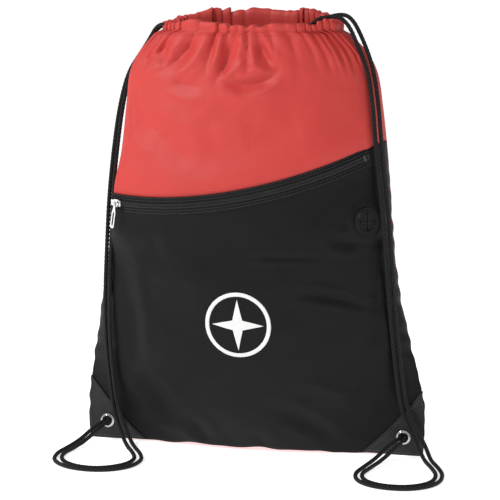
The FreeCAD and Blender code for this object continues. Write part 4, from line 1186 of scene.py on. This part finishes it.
class BACKPACK_OT_pocket(bpy.types.Operator):
    """Make the black zip pocket over the lower front"""
    bl_idname = "backpack.pocket"
    bl_label = "Zip pocket"

    def execute(self, context):
        columns, rows = 190, 150
        proud = FIRST_LAYER + sizes().fabric
        turns = BACKPACK_OT_body.turns(columns)
        grid = []
        for share in np.linspace(0.0, 1.0, rows) ** 0.92:
            z = np.full(columns, 0.20)
            for _ in range(6):
                x = across_at(turns, z, proud)
                beside = smoothstep(x - ZIP_BACK[0, 0], -0.0002, 0.0030)
                top = zip_height(np.clip(x, ZIP_BACK[0, 0], ZIP_BACK[-1, 0])) - 0.0070 + 0.0142 * beside
                top = top + 0.30 * np.maximum(x - ZIP_BACK[-1, 0], 0.0)
                low = foot_lift(x)
                z = low + share * (top - low)
            x, y, z = front_surface(turns, z, proud, True)
            grid.append(np.stack((x, y, z), axis=1))
        points = np.concatenate(grid)
        uv = np.stack((points[:, 0] * 1.08, points[:, 2]), axis=1)
        faces = grid_faces(rows, columns)
        pocket = smooth_mesh("zip_pocket", points, faces, uv)
        wall = pocket.modifiers.new("cloth", "SOLIDIFY")
        wall.thickness = 0.6 * MM
        wall.offset = -1.0
        apply_modifiers(pocket)
        place(pocket, black_cloth(), ["pocket_panel"])
        return {"FINISHED"}


class BACKPACK_OT_patches(bpy.types.Operator):
    """Sew the four corner patches on"""
    bl_idname = "backpack.patches"
    bl_label = "Corner patches"

    height: FloatProperty(name="Height", description="How far a patch climbs the side seam",
                          default=0.066, unit="LENGTH")
    foot: FloatProperty(name="Foot", description="How far a patch runs along the bottom",
                        default=0.062, unit="LENGTH")

    def execute(self, context):
        material = material_once("patch leather", patch_material)
        thread = black_thread()
        paths = []
        for side, hand in ((-1, "left"), (1, "right")):
            for facing in ("front", "back"):
                piece = self.patch("patch_%s_%s" % (facing, hand), side, facing)
                place(piece, material, ["corner_patch_%s_%s" % (facing, hand)])
                paths += self.seams(side, facing)
        stitches = links_along("patch_stitches", paths, thread, 0.0034, sizes().stitch, 0.0009, 0.0007)
        place(stitches, thread)
        return {"FINISHED"}

    def point(self, side, facing, share, height, proud):
        """A patch point: share 0 on the slanted edge, 1 at the side seam."""
        z = max(height, 0.0) * self.height
        _, left, right, *_ = shape_at(z)
        edge = (left, right)[side > 0] + side * proud
        slant = edge - side * self.foot * (1.0 - height)
        x = float(slant + share * (edge - slant))
        turn = float(turn_at(x, z, proud))
        if share >= 1.0:
            turn = side * SEAM
        if facing == "front":
            px, py, pz = front_surface(np.array([turn]), np.array([z]), proud, True)
        else:
            px, py, pz = back_surface(np.array([turn]), np.array([z]), proud)
        lift = float(foot_lift(px)[0]) * (1.0 - min(1.0, z / 0.02)) if z < 0.02 else 0.0
        hug = side * MM * float(smoothstep(share, 0.8, 1.0))
        return Vector((float(px[0]) - hug, float(py[0]), float(pz[0]) + lift + 0.0004))

    def patch(self, name, side, facing):
        proud = FIRST_LAYER + PATCH_LAYERS * sizes().fabric
        rows, columns = 30, 26
        shares = np.sin(np.linspace(0.0, SEAM, columns))
        points = [self.point(side, facing, s, h, proud)
                  for h in np.linspace(0.0, 0.985, rows) for s in shares]
        flip = (side > 0) == (facing == "back")
        piece = smooth_mesh(name, points, grid_faces(rows, columns, flip=flip),
                            [(p.x, p.z) for p in points])
        wall = piece.modifiers.new("thickness", "SOLIDIFY")
        wall.thickness = 0.7 * MM
        wall.offset = 0.0
        soft = piece.modifiers.new("soft edge", "BEVEL")
        soft.width = 0.3 * MM
        soft.segments = 2
        return apply_modifiers(piece)

    def seams(self, side, facing):
        """Stitch lines inside the slanted edge and along the side and bottom."""
        proud = FIRST_LAYER + PATCH_LAYERS * sizes().fabric + THREAD_ABOVE_PATCH
        out = Vector((0, -1 if facing == "front" else 1, 0))
        inset = 0.0028
        slanted = []
        for h in np.linspace(0.02, 0.93, 30):
            share = inset * 1.4 / max(self.foot * (1.0 - h), 0.004)
            if share < 0.9:
                slanted.append((self.point(side, facing, share, h, proud), out))
        side_run = []
        for h in np.linspace(0.05, 0.90, 30):
            share = 1.0 - inset / max(self.foot * (1.0 - h), 0.004)
            if share > 0.1:
                side_run.append((self.point(side, facing, share, h, proud), out))
        bottom = [(self.point(side, facing, s, inset / self.height, proud), out)
                  for s in np.linspace(0.06, 0.95, 30)]
        return [slanted, side_run, bottom]


class BACKPACK_OT_mark(bpy.types.Operator):
    """Print the ring and star on the pocket"""
    bl_idname = "backpack.mark"
    bl_label = "Printed mark"

    def execute(self, context):
        centre_x, centre_z = MARK_SPOT
        outer = sizes().mark_radius
        inner = outer - 0.004
        points, faces = [], []
        around = 144
        angles = np.linspace(0.0, 2 * math.pi, around, endpoint=False)
        star = [self.star_reach(angle, inner - 0.003, 0.007) for angle in angles]
        for low, high, steps in ((np.full(around, inner), np.full(around, outer), 4),
                                 (np.full(around, 0.0004), np.array(star), 12)):
            first = len(points)
            for share in np.linspace(0.0, 1.0, steps):
                reach = low + (high - low) * share
                points += [(centre_x + r * math.sin(a), centre_z + r * math.cos(a))
                           for r, a in zip(reach, angles)]
            faces += [tuple(first + i for i in face) for face in grid_faces(steps, around, closed=True)]
            if low[0] < 0.001:
                faces.append(tuple(first + i for i in reversed(range(around))))
        flat = np.array(points)
        proud = FIRST_LAYER + sizes().fabric
        turn = turn_at(flat[:, 0], flat[:, 1], proud)
        x, y, z = front_surface(turn, flat[:, 1], proud, True)
        piece = smooth_mesh("printed_ring_and_star", np.stack((x, y - INK, z), axis=1), faces,
                            np.stack((x, z), axis=1))
        face_outwards(piece, Vector((0, -1, 0)))
        wall = piece.modifiers.new("ink", "SOLIDIFY")
        wall.thickness = INK
        wall.offset = 1.0
        apply_modifiers(piece)
        place(piece, material_once("white print", print_material), ["printed_mark"])
        return {"FINISHED"}

    @staticmethod
    def star_reach(angle, tip, hollow):
        """How far the four-point star reaches at an angle, on the edge from a tip to a hollow."""
        share = (angle / (math.pi / 4)) % 2.0
        near = min(share, 2.0 - share)
        a, b = np.array((0.0, tip)), np.array((math.sin(math.pi / 4), math.cos(math.pi / 4))) * hollow
        way = np.array((math.sin(near * math.pi / 4), math.cos(near * math.pi / 4)))
        edge = b - a
        return (a[0] * edge[1] - a[1] * edge[0]) / (way[0] * edge[1] - way[1] * edge[0])


def face_outwards(piece, way):
    """Flip a sheet's faces that look against a direction."""
    mesh = piece.data
    if sum(p.normal.dot(way) for p in mesh.polygons) < 0:
        mesh.flip_normals()


class BACKPACK_OT_zip(bpy.types.Operator):
    """Finish the zip: tapes, coil teeth, stitching, stops, slider and pull"""
    bl_idname = "backpack.zip"
    bl_label = "Zip"

    def execute(self, context):
        tape = material_once("zip tape", tape_material)
        for node in ("zipper_tape_upper", "zipper_tape_lower"):
            dress(node, tape)
        tooth = coil_plastic()
        metal = material_once("plated metal", metal_material)
        for node in ("zipper_stop_left", "slider_body", "zipper_pull"):
            dress(node, metal)
        dress("zipper_stop_right", tooth)
        pitch = sizes().tooth_pitch
        shift = math.degrees(pitch / 2 / ZIP_RADIUS)
        for label, sign, begin in (("upper", 1, 0.0), ("lower", -1, shift)):
            start, stop = ZIP_START + begin, ZIP_END
            path = [(zip_point(a, 0.65 * MM, sign * 1.25 * MM), self.outward(a))
                    for a in np.linspace(start, stop, 90)]
            teeth = links_along("coil_teeth_" + label, [path], tooth, pitch, 0.95 * MM, 2.9 * MM, 1.5 * MM)
            place(teeth, tooth, ["zipper_coil_" + label])
        thread = black_thread()
        seams = []
        for along in (4.6 * MM, 7.6 * MM, -4.6 * MM, -7.6 * MM):
            seams.append([(zip_point(a, 0.12 * MM, along), self.outward(a))
                          for a in np.linspace(ZIP_START + 0.3, ZIP_END - 0.3, 90)])
        stitches = links_along("zip_stitches", seams, thread, 0.0030, sizes().stitch * 0.9, 0.5 * MM,
                               0.45 * MM)
        place(stitches, thread)
        return {"FINISHED"}

    @staticmethod
    def outward(angle):
        return (zip_point(angle, 1.0 * MM, 0.0) - zip_point(angle, 0.0, 0.0)).normalized()


def dress(node, material):
    """Give a CAD node a finished material."""
    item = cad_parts[node]
    if item.material_slots:
        for slot in item.material_slots:
            slot.material = material
    else:
        item.data.materials.append(material)


class BACKPACK_OT_port(bpy.types.Operator):
    """Finish the rubber cable port"""
    bl_idname = "backpack.port"
    bl_label = "Cable port"

    def execute(self, context):
        rubber = port_rubber()
        for node in ("port_ring", "port_flap_1", "port_flap_2", "port_flap_3", "port_flap_4"):
            dress(node, rubber)
        return {"FINISHED"}


class BACKPACK_OT_eyelets(bpy.types.Operator):
    """Roll the bright eyelets of the lower corners"""
    bl_idname = "backpack.eyelets"
    bl_label = "Eyelets"

    def execute(self, context):
        metal = material_once("eyelet metal", lambda n: metal_material(n, 0.14))
        profile = ((4.70, -9.8), (4.70, 0.20), (4.78, 0.70), (5.00, 1.10), (5.35, 1.32), (5.75, 1.32),
                   (6.05, 1.12), (6.25, 0.80), (6.34, 0.52), (6.50, 0.46), (6.72, 0.62), (6.98, 0.62),
                   (7.18, 0.44), (7.25, 0.18), (7.22, -0.10), (6.60, -0.20), (5.30, -0.20),
                   (5.30, -9.8))
        around = 72
        for side, hand in ((-1, "left"), (1, "right")):
            points = []
            for radius, out in profile:
                for i in range(around):
                    angle = 2 * math.pi * i / around
                    points.append((side * EYELET_X + radius * MM * math.sin(angle), (EYELET_FACE - out) * MM,
                                   EYELET_Z + radius * MM * math.cos(angle)))
            faces = grid_faces(len(profile), around, closed=True)
            last = (len(profile) - 1) * around
            faces += [(last + i, last + (i + 1) % around, (i + 1) % around, i) for i in range(around)]
            piece = smooth_mesh("eyelet_ring_" + hand, points, faces)
            make_outside_out(piece)
            place(piece, metal, ["eyelet_" + hand])
            dress("eyelet_washer_" + hand, metal)
        return {"FINISHED"}


def make_outside_out(piece):
    """Turn a closed mesh's faces outwards."""
    work = bmesh.new()
    work.from_mesh(piece.data)
    bmesh.ops.recalc_face_normals(work, faces=work.faces)
    work.to_mesh(piece.data)
    work.free()


class BACKPACK_OT_hem(bpy.types.Operator):
    """Stitch the sleeve's hem"""
    bl_idname = "backpack.hem"
    bl_label = "Hem stitching"

    def execute(self, context):
        thread = red_thread()
        turns = BACKPACK_OT_body.turns(BODY_COLUMNS)
        x, y, z = BACKPACK_OT_body.ring(turns, np.full(turns.size, PANEL_TOP - 0.0006))
        points = np.stack((x, y, z), axis=1)
        path = []
        for i in range(len(points)):
            out = Vector((points[i][0] * 0.15, points[i][1], 0)).normalized()
            path.append((Vector(points[i]) + out * 0.2 * MM, out))
        path.append(path[0])
        stitches = links_along("hem_stitches", [path], thread, 0.0034, sizes().stitch, 0.6 * MM, 0.5 * MM)
        place(stitches, thread)
        return {"FINISHED"}


class BACKPACK_PT_panel(bpy.types.Panel):
    bl_label = "Drawstring backpack"
    bl_idname = "BACKPACK_PT_panel"
    bl_space_type = "VIEW_3D"
    bl_region_type = "UI"
    bl_category = "Backpack"

    def draw(self, context):
        for group in (context.scene.backpack_sizes, context.scene.backpack_colours):
            for name in group.__annotations__:
                self.layout.prop(group, name)
        for operator in OPERATORS:
            self.layout.operator(operator.bl_idname)


OPERATORS = (BACKPACK_OT_stage, BACKPACK_OT_cords, BACKPACK_OT_body, BACKPACK_OT_pocket, BACKPACK_OT_patches,
             BACKPACK_OT_mark, BACKPACK_OT_zip, BACKPACK_OT_port, BACKPACK_OT_eyelets, BACKPACK_OT_hem)
CLASSES = (BackpackSizes, BackpackColours, *OPERATORS, BACKPACK_PT_panel)


def register():
    for item in CLASSES:
        bpy.utils.register_class(item)
    bpy.types.Scene.backpack_sizes = PointerProperty(type=BackpackSizes)
    bpy.types.Scene.backpack_colours = PointerProperty(type=BackpackColours)


def unregister():
    del bpy.types.Scene.backpack_colours
    del bpy.types.Scene.backpack_sizes
    for item in reversed(CLASSES):
        bpy.utils.unregister_class(item)


def main():
    register()
    for operator in OPERATORS:
        group, name = operator.bl_idname.split(".")
        getattr(getattr(bpy.ops, group), name)()


if __name__ == "__main__":
    main()
